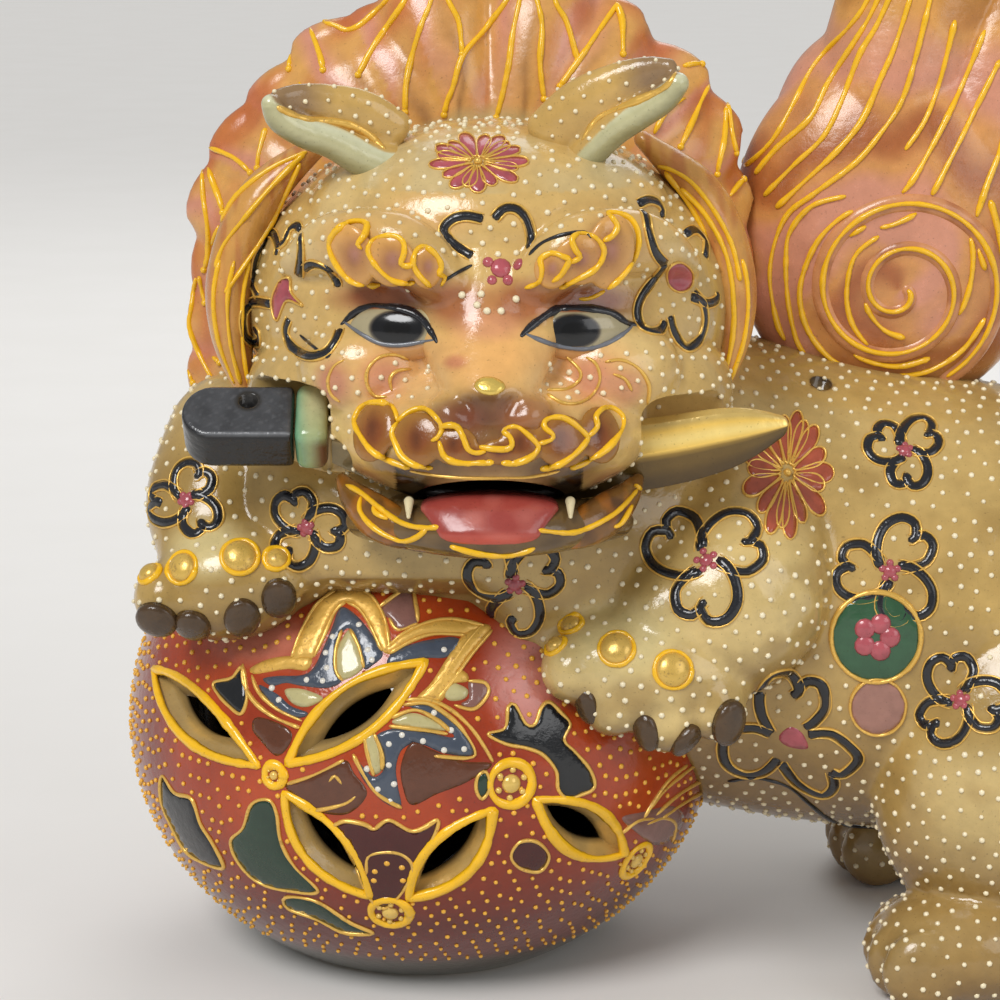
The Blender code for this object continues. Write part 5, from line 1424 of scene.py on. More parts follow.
for word, side, spread in (("left", -1.0, 1.0), ("right", 1.0, 0.93)):
    rows = [(*in_head(side * out * spread, rear, up), side_lock_radius * wide, side_lock_radius * 1.5 * wide)
            for out, up, rear, wide in side_lock_stations]
    lock = Skin(cast("long_lock_" + word, [roll(rows, 32, 8)], 0.0006, 2), "c9924a")
    lock.brush("b5703c", 0.8 * fade(clouds(lock.spots * np.array([3.0, 1.0, 0.5]), 0.012, 53) * 1.5))
    lock.dry(mane_glaze, "lock_yellow", ("side_lock_" + word,))
    side_locks[word] = lock
    lock_rows[word] = rows


# The tail is a flame plume over a round swirl: pink and orange glaze ringed with yellow slip lines,
# which run up into the flames, and one rolled curl at the swirl's heart.
tail_height, tail_radius, tail_thickness = 0.238, 0.033, 0.036
tail_x, tail_depth = 0.101, 0.009
swirl_radius, swirl_turns, swirl_roll = 0.021, 2.2, 0.0026
foot = ball_top + tail_radius * 1.18
rise = tail_height - foot
lumps = [egg((tail_x, tail_depth, foot + tail_radius * 0.30),
             (tail_radius * 1.05, tail_thickness / 2, tail_radius * 1.22))]
tail_flames = ((-0.34, 0.10, 0.46, 1.00, 0.52, -0.4), (-0.52, 0.10, -0.10, 0.52, 0.40, 1.2),
               (0.10, 0.05, 0.86, 0.78, 0.46, -1.6), (0.45, 0.00, 1.04, 0.46, 0.40, 1.6))
for start_x, start_z, end_x, end_z, size, bow in tail_flames:
    lumps.append(flame((tail_x + tail_radius * start_x, foot + rise * start_z),
                       (tail_x + tail_radius * end_x, foot + rise * end_z), tail_radius * size,
                       mane_sway * bow, tail_depth, tail_thickness * 0.86))
tail = cast("flame_tail", lumps, 0.0008, 4)
tail_coat = Skin(tail, "c98c50")
swirl_centre = Vector((tail_x, tail_depth, ball_top + tail_radius * 1.14))
away = tail_coat.spots - np.array(swirl_centre)
far = np.hypot(away[:, 0], away[:, 2])
spin = np.arctan2(away[:, 2], away[:, 0])
mist = clouds(tail_coat.spots, 0.020, 61)
wave = np.sin(far / 0.0052 - spin * 1.0 + mist * 0.8)
tail_coat.brush("c98a74", 0.85 * fade(wave * 1.2))
tail_coat.brush("9a5228", 0.85 * fade(-wave * 1.3 - 0.3))
tail_coat.brush("d8a840", 0.6 * fade(away[:, 2] - 0.045, 0.03))
tail_coat.brush("8a6a3c", 0.7 * fade(0.134 - tail_coat.spots[:, 2], 0.02))
tail_coat.dry(mane_glaze, "tail_orange", ("tail",))
curl_rows = []
curl_steps = 60
for number in range(curl_steps + 1):
    share = number / curl_steps
    turn = math.radians(-60.0) + 2 * math.pi * swirl_turns * share
    reach = swirl_radius * (1.0 - share) + swirl_roll * 0.6
    x, z = swirl_centre.x + reach * math.cos(turn), swirl_centre.z + reach * math.sin(turn)
    spot = straight(tail_coat, x, z)[0]
    size = swirl_roll * (1.0 - 0.35 * share)
    if spot is not None:
        curl_rows.append((spot.x, spot.y + size * 0.55, spot.z, size, size * 0.9))
curl = Skin(cast("tail_swirl", [roll(curl_rows, 18, 3)], 0.0006, 2), "c88a5c")
curl.cloud("a0603a", 0.7, 0.010, 63, 1.5)
curl.dry(mane_glaze, "swirl_yellow", ("tail_curl",))


# The dagger lies crosswise in the mouth: a glossy black grip with a peg hole, a celadon collar stained
# brown, and a gilded blade with a middle ridge. It is clay too, and glaze runs over its joints.
dagger_depth, dagger_rise = 0.058, 0.122
grip_length, grip_end = 0.0222, -0.0460
peg_hole_width = 0.0046
collar_length = 0.0068
blade_height, blade_thickness, blade_reach = 0.0145, 0.0058, 0.0735
grip_level = dagger_rise + blade_height * 0.2


def tilted_bar(name, start_x, length, face_width, thickness, round_end, rounding):
    """A flat bar whose broad face is rolled up towards the viewer, its left end rounded if asked."""
    out = Vector((0.0, -math.cos(bar_roll), math.sin(bar_roll)))
    across = Vector((0.0, math.sin(bar_roll), math.cos(bar_roll)))
    centre = Vector((0.0, -dagger_depth, grip_level))
    half = face_width / 2
    outline = [(start_x + length, -half), (start_x + length, half)]
    if round_end:
        outline += [(start_x + round_end - round_end * math.sin(angle), half * math.cos(angle))
                    for angle in np.linspace(0.0, math.pi, 25)]
    else:
        outline += [(start_x, half), (start_x, -half)]
    points = [centre + Vector((x, 0.0, 0.0)) + across * v + out * thickness * side
              for side in (-0.5, 0.5) for x, v in outline]
    count = len(outline)
    faces = [tuple(range(count)), tuple(range(2 * count - 1, count - 1, -1))]
    faces += [(corner, corner + count, (corner + 1) % count + count, (corner + 1) % count)
              for corner in range(count)]
    bar = turn_outwards(shape_of(name, points, faces))
    finish_with(bar, "BEVEL", width=rounding, segments=5, limit_method="ANGLE",
                angle_limit=math.radians(40.0))
    return bar, centre, out, across


bar_roll = math.radians(50.0)
face_width, bar_thickness = 0.0131, 0.0101
bar, centre, out, across = tilted_bar("grip_bar", grip_end, grip_length - 0.0002, face_width, bar_thickness,
                                      round_end=0.0062, rounding=0.0011)
grip = cast("dagger_grip_bar", [bar], 0.00042, 2)
hole_place = at_depth(248, 398, -dagger_depth - 0.002)
hole_place = hole_place - out * ((hole_place - centre).dot(out) - bar_thickness / 2)
drill(grip, hole_place, out, peg_hole_width / 2 * 0.82)
grip_coat = Skin(grip, "0d0e10")
# Painted reflection: the broad face that turns up to the viewer is brushed grey with streaks, and a pale
# glint runs along its edge, over the black glaze.
sheen_face = fade((grip_coat.facing @ np.array(out) - 0.6) * 4.0)
mist = clouds(grip_coat.spots, 0.006, 71)
grip_coat.brush("505154", sheen_face * fade(0.62 + mist * 0.12))
grip_coat.brush("6c6d70", sheen_face * fade(clouds(grip_coat.spots, 0.0016, 72) * 1.2 - 0.3) * 0.25)
edge = (grip_coat.spots - np.array(centre)) @ np.array(across)
grip_coat.brush("8d8f92", sheen_face * fade(1.0 - np.abs(edge + face_width / 2 - 0.0006) / 0.0006) * 0.7)
hole_gap = np.linalg.norm(grip_coat.spots - np.array(hole_place), axis=1)
grip_coat.brush("2c2925", fade(peg_hole_width * 0.62 - hole_gap, 0.0005))
grip_coat.dry(fire("grip_black_glaze", None, 0.20, 0.0, 0.5, 0.6), "grip_black", ("dagger_grip",))
band = tilted_bar("band", grip_end + grip_length + 0.0001, collar_length - 0.0004, face_width + 0.0014,
                  bar_thickness + 0.0012, round_end=0.0, rounding=0.0022)[0]
collar = cast("dagger_collar_band", [band], 0.00045, 4)
collar_coat = Skin(collar, "9aa878")
share = (collar_coat.spots[:, 0] - grip_end - grip_length) / collar_length
climb = collar_coat.spots[:, 2]
collar_coat.brush("5f9a78", 0.8 * fade((0.45 - share) * 3.0))
collar_coat.brush("c2bb8e", 0.8 * fade(climb - grip_level + 0.001, 0.006) * fade(share * 2.0))
collar_coat.brush("744630", 0.9 * fade((share - 0.45) * 3.0) * fade(grip_level - 0.001 - climb, 0.002))
collar_coat.dry(skin_glaze, "collar_celadon", ("dagger_collar",))
tang = grip_end + grip_length + collar_length
run = blade_reach - head_centre.x
rows = [(tang + 0.0003, 0.0, 0.62), (tang + blade_height * 0.8, -0.20, 0.85), (head_centre.x, -0.41, 0.95),
        (head_centre.x + 0.5 * run, -0.20, 1.00), (head_centre.x + 0.8 * run, 0.03, 0.86),
        (head_centre.x + 0.97 * run, 0.19, 0.34), (blade_reach - 0.0002, 0.22, 0.04)]
section = [(0.0, 1.0), (-0.55, 0.86), (-0.80, 0.52), (-1.0, 0.10), (-0.62, -0.42), (0.0, -1.0), (0.62, -0.42),
           (1.0, 0.10), (0.80, 0.52), (0.55, 0.86)]
points = []
rows = smooth_stations(rows, 14)
for x, climb, size in rows:
    tall, deep = blade_height / 2 * size, blade_thickness / 2 * min(1.0, size + 0.15)
    for a, b in section:
        points.append((x, -dagger_depth + deep * a, dagger_rise + blade_height * climb + tall * b))
blade = tube("dagger_blade_bar", points, len(section))
finish_with(blade, "BEVEL", width=0.0005, segments=2, limit_method="ANGLE", angle_limit=math.radians(25.0))
finish_with(blade, "SUBSURF", levels=2, render_levels=2, subdivision_type="SIMPLE")
blade_coat = Skin(blade, "f2c24e")
blade_coat.gilt[:] = 0.30
stations, climbs, sizes = zip(*rows)
centre_line = dagger_rise + blade_height * np.interp(blade_coat.spots[:, 0], stations, climbs)
tall = np.interp(blade_coat.spots[:, 0], stations, sizes) * blade_height / 2
rel = (blade_coat.spots[:, 2] - centre_line) / np.maximum(tall, 0.001)
blade_coat.brush("c2a866", 0.85 * fade(rel - 0.62, 0.12), 0.25)
# Painted light on the gilding: a bright highlight band along the upper face, and painted dark reflection and
# shade over the lower face.
blade_coat.brush("ffe28c", 0.95 * np.exp(-((rel - 0.34) / 0.24) ** 2), 0.30)
blade_coat.brush("5c4826", 0.95 * fade(0.06 - rel, 0.12), 0.3)
blade_coat.brush("3c2c1a", 0.6 * fade(-0.45 - rel, 0.3), 0.2)
blade_coat.brush("94845e", 0.9 * fade(head_centre.x - 0.012 - blade_coat.spots[:, 0], 0.006), 0.2)
blade_coat.dry(fire("blade_gilding", None, 0.18, 0.0, 0.25, 0.4), "blade_gold", ("dagger_blade",))


# Gilded bosses sit on the knuckles, each with a raised ring, and dark brown claws end the toes.
# Both are pressed drops of slip on the paws.
def drop_on(node, skin):
    """Where a packed drop of slip sits on the clay, which way it faces and how large it is."""
    low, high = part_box(node)
    spot, facing = skin.tree.find_nearest((low + high) / 2)[:2]
    return spot, facing, (high - low) / 2


def dome(spot, facing, wide, tall, proud, sides=28):
    """A smooth closed drop, its foot sunk in the clay."""
    side = Vector((0.0, 0.0, 1.0)).cross(facing).normalized()
    axes = Matrix((side, facing.cross(side), facing)).transposed()
    points = []
    levels = [(-0.8, 1.0), (0.0, 1.0), (0.30, 0.95), (0.58, 0.82), (0.80, 0.62), (0.94, 0.36)]
    for level, size in levels:
        for number in range(sides):
            turn = 2 * math.pi * number / sides
            points.append(spot + axes @ Vector((wide * size * math.cos(turn), tall * size * math.sin(turn),
                                                proud * level)))
    points.append(spot + axes @ Vector((0.0, 0.0, proud)))
    faces = [tuple(reversed(range(sides))), *ring_faces(len(levels), sides)]
    last = (len(levels) - 1) * sides
    faces.extend((last + number, last + (number + 1) % sides, len(points) - 1) for number in range(sides))
    return shape_of("drop", points, faces)


boss_rise = 0.0016
boss_gilding = fire("boss_gilding", "d8b258", 0.24, 0.35, 0.4, 0.4, "8a6a38", 0.7)
claw_glaze = fire("claw_brown_glaze", "49351f", 0.24, 0.0, 0.9, 0.9)
rings = Slip(81)
for word in ("left", "right"):
    for number in range(1, 5):
        node = f"boss_{word}_{number}"
        spot, facing, size = drop_on(node, body_coat)
        radius = max(size.x, size.z) * 0.92
        knob = dome(spot, facing, radius, radius, boss_rise)
        knob.name = "gilded_" + node
        set_down(knob, boss_gilding, (node,))
        axes = facing.to_track_quat("Z", "Y").to_matrix()
        circle = [body_coat.tree.find_nearest(spot + axes @ Vector((x, y, 0.0)))[:2]
                  for x, y in circled((0.0, 0.0), radius * 1.08, np.arange(0.0, 2 * math.pi, 0.16))]
        rings.line(*apart(circle), 0.0013, 0.0008, True)
        node = f"claw_{word}_{number}"
        spot, facing, size = drop_on(node, body_coat)
        claw = dome(spot, facing, size.x * 1.12, size.z * 1.12, 0.0015)
        claw.name = "horn_" + node
        set_down(claw, claw_glaze, (node,))
        laid.extend([tuple(spot + Vector((size.x * aside, 0, size.z * up)))
                     for aside in (-0.6, 0, 0.6) for up in (-0.6, 0, 0.6)])
rings.set("boss_rings", yellow_slip, "boss_gold")


# Long yellow slip lines run over mane, locks and tail, the mane's from the tips to small drops at the
# roots. They are drawn on the front as the photograph shows them; mane and tail have them behind too.
mane_lines = """
    303,8 308,23 315,41 321,59 323,70 / 303,8 295,33 291,51 289,69 / 300,15 287,38 280,54 275,71 / 290,22
    308,16 323,22 336,26 346,30 359,26 374,13 387,0 396,-14 / 418,-30 405,0 392,20 374,46 358,75 / 436,-35
    431,0 421,26 412,56 406,84 405,112 / 440,-25 448,0 458,20 461,41 462,54 / 520,-30 507,0 486,28 463,55
    453,87 447,102 444,115 / 522,-10 513,33 509,64 502,97 495,122 / 530,-30 537,0 542,26 540,64 544,99 /
    266,128 259,153 257,173 / 208,147 234,158 254,176 / 287,140 286,156 / 202,153 203,191 208,230 208,255
    204,270 / 203,153 212,179 221,204 224,222 / 204,270 216,283 229,306 234,332 235,360 / 196,278 192,306
    190,327 201,357 213,380 / 199,276 206,306 216,327 224,339 / 183,357 188,370 193,383 / 213,357 229,370
    247,380 / 555,-28 555,0 566,21 574,48 578,60 / 618,3 600,29 579,60 560,86 / 616,3 622,21 623,54 /
    713,78 702,99 689,129 674,161 / 726,107 724,139 717,174 718,201 / 683,66 702,64 718,78 728,107 732,134
    736,153 / 722,214 732,193 748,177 757,193 760,214 753,241 742,279 / 748,177 755,204 748,241 740,268 /
    740,340 726,351 720,375 718,388 726,402 / 724,380 734,372 742,383 748,402 / 748,329 756,348 757,375
"""
lock_lines = """
    309,151 272,168 239,194 221,222 212,245 / 305,153 272,186 244,219 224,245 216,268 / 300,163 285,194
    267,230 241,270 225,293 / 658,166 674,171 694,185 716,214 732,246 740,281 / 665,171 691,206 708,241
    718,281 720,316 / 681,188 705,214 724,249 732,284 734,321
"""
tail_lines = """
    905,-90 885,-40 866,3 849,27 815,64 796,99 777,134 761,153 745,166 / 935,-120 905,-40 879,21 860,54
    841,102 823,137 793,166 764,196 / 968,-140 940,-40 915,60 900,104 880,134 855,163 815,193 788,214
    774,246 770,281 777,321 785,340 / 985,30 960,90 930,150 905,190 880,204 847,214 820,238 804,271
    800,300 809,332 831,359 858,372 880,376 925,372 962,350 985,318 / 1010,110 1000,150 985,190 975,230
    985,270 / 879,236 858,252 849,273 847,303 855,329 876,351 905,356 935,345 / 990,200 1000,240 1002,280
    990,330 / 955,20 940,80 925,120 905,150 / 866,226 838,246 826,278 830,318 846,348 872,362 900,366
    930,358 / 888,250 870,262 864,285 868,310 884,330 905,338 / 920,-105 895,-40 872,12 855,41 828,83
    810,118 777,148 755,174 / 952,-130 922,-40 897,40 880,80 862,120 838,150 804,182 776,208 / 846,196
    812,206 790,232 786,262 788,300 796,338 806,356 / 1000,60 975,110 950,160 925,205 900,222 880,228 /
    960,215 972,245 970,285 955,320 930,335
"""
lines = Slip(91)
head_side = by_lens(mane_coat, side_locks["left"], side_locks["right"], tail_coat, head_coat, ears["left"],
                    ears["right"], curl)


def only(find, skins):
    """Keeps a place only where it lies on one of the given skins."""
    def keep(x, y):
        met = find(x, y)
        if met is None:
            return None
        near = min((skin.tree.find_nearest(met[0])[3] or 0.0) for skin in skins)
        return met if near < 0.0002 else None
    return keep


behind_all = 0.4


def behind(runs, skins):
    """The same runs on the far side of thin parts, seen from the back."""
    result = []
    for spots, _ in runs:
        found = []
        for x, _, z in spots:
            best = None
            for skin in skins:
                spot, facing = straight(skin, x, z, behind_all)
                if spot is not None and (best is None or spot.y > best[0].y):
                    best = (spot, facing)
            if best and (not found or (best[0] - found[-1][0]).length < leap):
                found.append(best)
        if len(found) > 5:
            result.append(apart(found))
    return result


for text, skins, width in ((mane_lines, (mane_coat,), 0.0013),
                           (lock_lines, (*side_locks.values(), mane_coat), 0.00115),
                           (tail_lines, (tail_coat,), 0.0013)):
    for path in strokes(text):
        runs = trace(only(head_side, skins), path, 3.4, leap=0.004)
        for spots, facings in runs:
            lines.line(spots, facings, width, 0.0008)
            if text is mane_lines:
                lines.dot(spots[-1], facings[-1], width * 0.68, 0.0009, 10)
        if text is not lock_lines:
            for spots, facings in behind(runs, (*skins, body_coat)):
                lines.line(spots, facings, width, 0.0008)
for word, rows in lock_rows.items():
    path = smooth_path(rows, 0.0008)
    for share in (-0.55, 0.0, 0.55):
        run = [straight(side_locks[word], x + half_width * share, z)
               for x, _, z, half_width, _ in path[len(path) // 2:-6]]
        lines.line(*apart([met for met in run if met[0] is not None]), 0.0010, 0.0007)
mane_net = KDTree(len(laid))
for number, spot in enumerate(laid):
    mane_net.insert(spot, number)
mane_net.balance()
line_gap, line_leap, fewest = 0.0022, 0.003, 9
for number, turn in enumerate(np.arange(-116.0, 117.0, 5.2)):
    lean = math.radians(turn)
    lock_reach = np.interp(turn, np.sort(angles), reaches[np.argsort(angles)])
    line_root = head_half_width * (0.98 + 0.10 * math.sin(number * 2.3))
    runs = [[]]
    for out in np.arange(lock_reach * 0.95, line_root, -0.0008):
        sway = math.radians(2.2 * math.sin(out * 260.0 + number * 1.9))
        met = straight(mane_coat, mane_centre.x + out * math.sin(lean + sway),
                       mane_centre.z + out * math.cos(lean + sway))
        clear = met[0] is not None and mane_net.find(met[0])[2] >= line_gap
        if not clear or (runs[-1] and (met[0] - runs[-1][-1][0]).length > line_leap):
            runs.append([])
        if clear:
            runs[-1].append(met)
    for run in runs:
        if len(run) > fewest:
            lines.line(*apart(run), 0.0011, 0.0007)
for fan in np.arange(-2.35, 2.4, 0.47):
    run = []
    for up in np.arange(0.62 - 0.06 * abs(fan), -1.0 + 0.10 * abs(fan), -0.018):
        sway = 0.03 * math.sin(up * 5.0 + fan * 2.0)
        x = head_centre.x + head_half_width * (fan * (0.31 + 0.03 * (0.6 - up)) + sway)
        met = straight(mane_coat, x, head_centre.z + head_half_height * up, behind_all)
        if met[0] is not None and (not run or (met[0] - run[-1][0]).length < 0.004):
            run.append(met)
    if len(run) > fewest:
        lines.line(*apart(run), 0.0012, 0.0008)
crest = smooth_path([tuple(straight(curl, x, z)[0]) for x, _, z, _, _ in curl_rows], 0.0008)
lines.line(crest, np.tile((0.0, -1.0, 0.0), (len(crest), 1)), 0.0012, 0.0008)
lines.set("mane_and_tail_lines", yellow_slip, "swirl_yellow")


# The face is drawn in slip: yellow scroll outlines, thick black strokes with gold edges, pink cheeks
# curled in gold, lid lines round the eyes and a gold dab on the nose.
face = by_lens(head_coat, eyes["left"], eyes["right"], *scrolls.values(), jaw_coat, mane_coat,
               *side_locks.values())
brow_curls = """
    388,282 373,286 353,282 339,268 330,248 334,234 346,224 358,221 367,224 365,234 358,244 362,249 /
    415,282 407,283 392,280 378,268 369,254 370,244 380,237 394,236 403,242 404,253 401,263 407,266
    414,263 / 431,287 419,275 413,263 416,251 425,247 436,255 441,266 439,274 445,277 441,286 / 525,288
    539,282 542,270 541,259 552,253 562,256 569,260 565,269 560,276 552,282 / 559,288 576,280 596,268
    604,253 600,242 591,235 579,234 572,240 576,251 580,257 570,263 / 579,299 591,298 610,287 627,270
    637,251 638,234 632,221 622,215 608,213 613,219 617,226 613,235 603,241
"""
moustache_curls = """
    410,468 376,454 360,435 355,422 360,409 370,403 387,404 395,412 398,422 / 398,422 392,432 396,444
    402,456 415,465 433,468 / 398,422 410,412 425,409 435,416 442,427 438,437 431,441 / 439,428 448,425
    457,427 463,437 468,449 476,453 486,451 / 439,441 443,454 450,460 463,463 494,462 / 479,447 494,449
    507,449 512,445 510,437 504,432 508,428 517,427 527,434 537,444 538,449 532,456 519,462 501,463 /
    538,444 551,440 553,435 545,428 544,422 551,418 563,418 575,425 586,435 587,440 575,454 558,465
    540,469 / 588,437 597,427 596,416 604,408 614,409 623,418 621,431 606,449 586,462 570,468
"""
beard_curls = """
    346,485 361,493 382,510 402,523 422,528 440,527 / 361,497 360,510 369,523 384,534 402,541 417,537
    428,528 / 373,506 376,513 388,519 / 637,490 624,505 611,516 588,528 568,533 537,530 / 632,505 621,523
    614,527 / 634,485 647,493 665,501 680,504 / 450,546 479,553 509,555 535,548
"""
heart_strokes = """
    472,256 459,248 447,237 444,228 453,219 467,216 483,219 / 494,219 504,209 516,209 525,217 530,230
    531,241 528,248
"""
thin_black = """
    441,283 455,274 472,265 / 529,255 542,243 562,235 584,232 591,238 / 314,263 329,268 339,282 / 300,335
    314,347 327,357 334,345 339,333
"""
temple_left = """
    258,297 253,281 255,260 262,245 272,233 278,245 276,255 / 278,245 285,242 290,230 298,226 301,242
    301,258 299,276 / 303,270 313,264 328,270 337,281 338,287 / 271,304 254,302 244,312 243,327 247,339
    258,343 259,334 254,329 / 289,319 286,332 292,347 309,356 326,352 336,339 340,329
"""
temple_right = """
    635,206 645,214 649,233 655,252 665,264 / 638,204 649,200 659,204 662,214 654,222 / 665,264 654,279
    641,297 637,313 643,328 659,331 665,321 / 670,316 674,332 686,348 699,340 705,321 702,303 691,297 /
    683,236 694,230 705,241 705,257 / 694,292 705,303 716,300 717,292
"""
temple_hearts = """
    272,301 280,281 290,278 292,293 303,306 287,301 277,321 / 668,268 680,262 692,272 690,288 678,292
    668,284
"""
cheek_curls = """
    409,360 397,355 380,357 368,369 367,384 375,396 387,397 / 392,391 390,379 397,371 411,369 / 586,357
    596,364 600,379 593,394 579,403 562,403 547,394 / 567,357 579,369 580,379 567,389 547,390 / 605,362
    622,360 639,369 649,386 647,406 / 613,374 625,379 632,391 / 344,360 334,366 328,380 331,394 340,402
"""
upper_lids = """
    341,325 344,322 358,311 380,306 404,309 421,318 433,335 437,343 / 521,337 524,333 538,321 559,309
    586,308 610,312 627,322 640,326
"""
lower_lids = """
    344,322 363,335 382,344 404,345 426,341 434,340 / 524,333 540,340 562,347 586,349 608,343 627,331
    634,323
"""
lip_line = "410,471 440,476 470,478 500,478 530,477 560,471"
brow_beads = "462,295 481,294 477,305 487,311 501,311 516,299"
scroll_slip, black, gold, blush, white = (Slip(seed) for seed in range(101, 106))
for text in (brow_curls, moustache_curls, beard_curls):
    for path in strokes(text):
        scroll_slip.stroke(face, path, 3.0, 0.00125, 0.00085)


def ink(find, path, step, width=0.0019, gold_width=0.00045, height=0.0005):
    """A thick black stroke with a thin gold line along each side."""
    for spots, facings in trace(find, path, step):
        if len(spots) < 5:
            continue
        black.line(spots, facings, width, height, taper=1.5)
        side = sideways(facings, np.gradient(spots, axis=0))
        for sign in (-1.0, 1.0):
            gold.line(spots + side * sign * width * 0.52, facings, gold_width, height * 0.9)


for path in (*strokes(heart_strokes), *strokes(temple_left), *strokes(temple_right)):
    ink(face, path, 3.0)
for path in strokes(thin_black):
    black.stroke(face, path, 3.0, 0.0008, 0.0004)
for path in strokes(upper_lids):
    black.stroke(face, path, 2.6, 0.0020, 0.0006, taper=9.0)
lid = Slip(106)
for path in strokes(lower_lids):
    lid.stroke(face, path, 2.6, 0.0010, 0.0004, taper=7.0)
for path in strokes(cheek_curls):
    gold.stroke(face, path, 3.0, 0.00075, 0.0005)
gold.stroke(face, strokes(lip_line)[0], 3.0, 0.0007, 0.0004)
for outline in strokes(temple_hearts):
    blush.pad(face, outline, 3.0, 0.0004)
    gold.stroke(face, outline, 3.0, 0.0005, 0.0005, True)


petal_edge = ((0.16, 0.0), (0.42, 0.075), (0.74, 0.125), (0.95, 0.085), (1.02, 0.0), (0.95, -0.085),
              (0.74, -0.125), (0.42, -0.075))


def chrysanthemum(find, centre, wide, tall, petals, step, width, petal=blush):
    """A flower of narrow pink petals, each outlined in gold, round a small gold eye."""
    for number in range(petals):
        turn = 2 * math.pi * number / petals + 0.11 * math.sin(5.0 * number)
        size = 1.0 + 0.12 * math.sin(3.1 * number + 1.0)
        leaf = []
        for along, out in petal_edge:
            spread = out * 2 * math.pi / petals * 3.7
            leaf.append((centre[0] + wide * size * (along * math.cos(turn) - spread * math.sin(turn)),
                         centre[1] + tall * size * (along * math.sin(turn) + spread * math.cos(turn))))
        petal.pad(find, leaf, step, 0.0003)
        gold.stroke(find, leaf, step, width, 0.0005, True)
    met = find(*centre)
    if met:
        gold.dot(*met, 0.0010, 0.0012, 12)


chrysanthemum(face, (478, 162), 45.0, 28.0, 17, 3.0, 0.0004)
brow_berries = ((501, 268, 0.0022), (518, 264, 0.0014), (508, 280, 0.0012), (492, 280, 0.0011),
                (488, 262, 0.0012))
for x, y, radius in brow_berries:
    blush.dot(*face(x, y), radius, 0.0006, 12)
nose_outline = "474,386 480,378 492,377 503,382 505,389 496,395 482,394"
nose_dab = Slip(107)
nose_dab.pad(face, strokes(nose_outline)[0], 2.5, 0.0005)
nose_dab.set("nose_gilding", fire("nose_gilding", "f0cf6a", 0.16, 0.6, 0.2, 0.4, "c08c3c", 0.4), "boss_gold")


# The same strokes and flowers go on over the body: three-petalled flowers in thick black, a pink
# chrysanthemum on the flank and a green roundel, then fine white slip dots over all the tan skin.
flank_flower = """
    771,733 761,713 760,692 772,676 790,674 799,689 792,696 / 799,689 808,681 822,686 825,707 815,721
    805,728 / 771,734 754,728 734,731 723,743 726,763 743,774 763,772 778,759 / 808,734 831,734 851,748
    858,760 843,774 831,772 / 781,763 798,784 822,795 834,786 831,772
"""
flank_heart = "779,736 790,727 802,733 808,748 793,748 782,743"
belly_line = "728,781 757,778 787,786 810,804 825,816 845,825 878,828"
petal_strokes = strokes("""
    -0.17,0.02 -0.33,-0.10 -0.46,-0.38 -0.46,-0.67 -0.29,-0.90 -0.04,-0.92 0.08,-0.71 0.0,-0.62 /
    0.08,-0.71 0.21,-0.83 0.42,-0.75 0.46,-0.46 0.29,-0.25 0.15,-0.12
""")
fifths = [number * 1.26 for number in range(5)]
body_view = by_lens(body_coat)
for path in strokes(flank_flower):
    ink(body_view, path, 3.2, 0.0024)
blush.pad(body_view, strokes(flank_heart)[0], 3.4, 0.00022)
black.stroke(body_view, strokes(belly_line)[0], 3.2, 0.0009, 0.0005)


def three_petals(find, step, width=0.0021):
    """One three-petalled flower on a drawing of unit size."""
    for turn in (0.0, 2.1, 4.2):
        for path in petal_strokes:
            ink(find, [(x * math.cos(turn) - y * math.sin(turn), x * math.sin(turn) + y * math.cos(turn))
                       for x, y in path], step, width)
    met = find(0.0, 0.0)
    if met:
        blush.dot(*met, 0.0016, 0.0006, 10)
        for pixel in circled((0.0, 0.0), 0.14, fifths):
            spot = find(*pixel)
            if spot:
                blush.dot(*spot, 0.0009, 0.0005, 8)


def around(find, centre, size, turn=0.0):
    """A drawing of unit size laid at a pixel."""
    spin = math.radians(turn)

    def place(x, y):
        return find(centre[0] + size * (x * math.cos(spin) - y * math.sin(spin)),
                    centre[1] + size * (x * math.sin(spin) + y * math.cos(spin)))
    return place


for pixel, size, turn in (((186, 500), 40.0, 20.0), ((306, 528), 42.0, -30.0), ((515, 585), 52.0, 60.0),
                          ((706, 560), 66.0, 180.0), ((890, 571), 58.0, -90.0), ((905, 450), 40.0, 50.0),
                          ((960, 700), 50.0, -20.0)):
    three_petals(around(body_view, pixel, size, turn), 0.08)
brick = Slip(110)
chrysanthemum(body_view, (787, 473), 42.0, 60.0, 18, 3.4, 0.0005, brick)
roundel = Slip(108)
roundel_pixel, roundel_size = (876, 637), 45.0
circle = circled(roundel_pixel, roundel_size, np.arange(0, 2 * math.pi, 0.35))
roundel.pad(body_view, circle, 3.4, 0.0004)
gold.stroke(body_view, circle, 3.2, 0.0013, 0.0010, True)
for pixel in circled(roundel_pixel, 14, fifths):
    spot, facing = body_view(*pixel)
    blush.dot(spot + facing * 0.0004, facing, 0.0024, 0.0007, 12)
mauve_disc = Slip(109)
disc = circled((878, 707), 28, np.arange(0, 2 * math.pi, 0.5))
mauve_disc.pad(body_view, disc, 3.4, 0.0003)
gold.stroke(body_view, disc, 3.2, 0.0008, 0.0007, True)
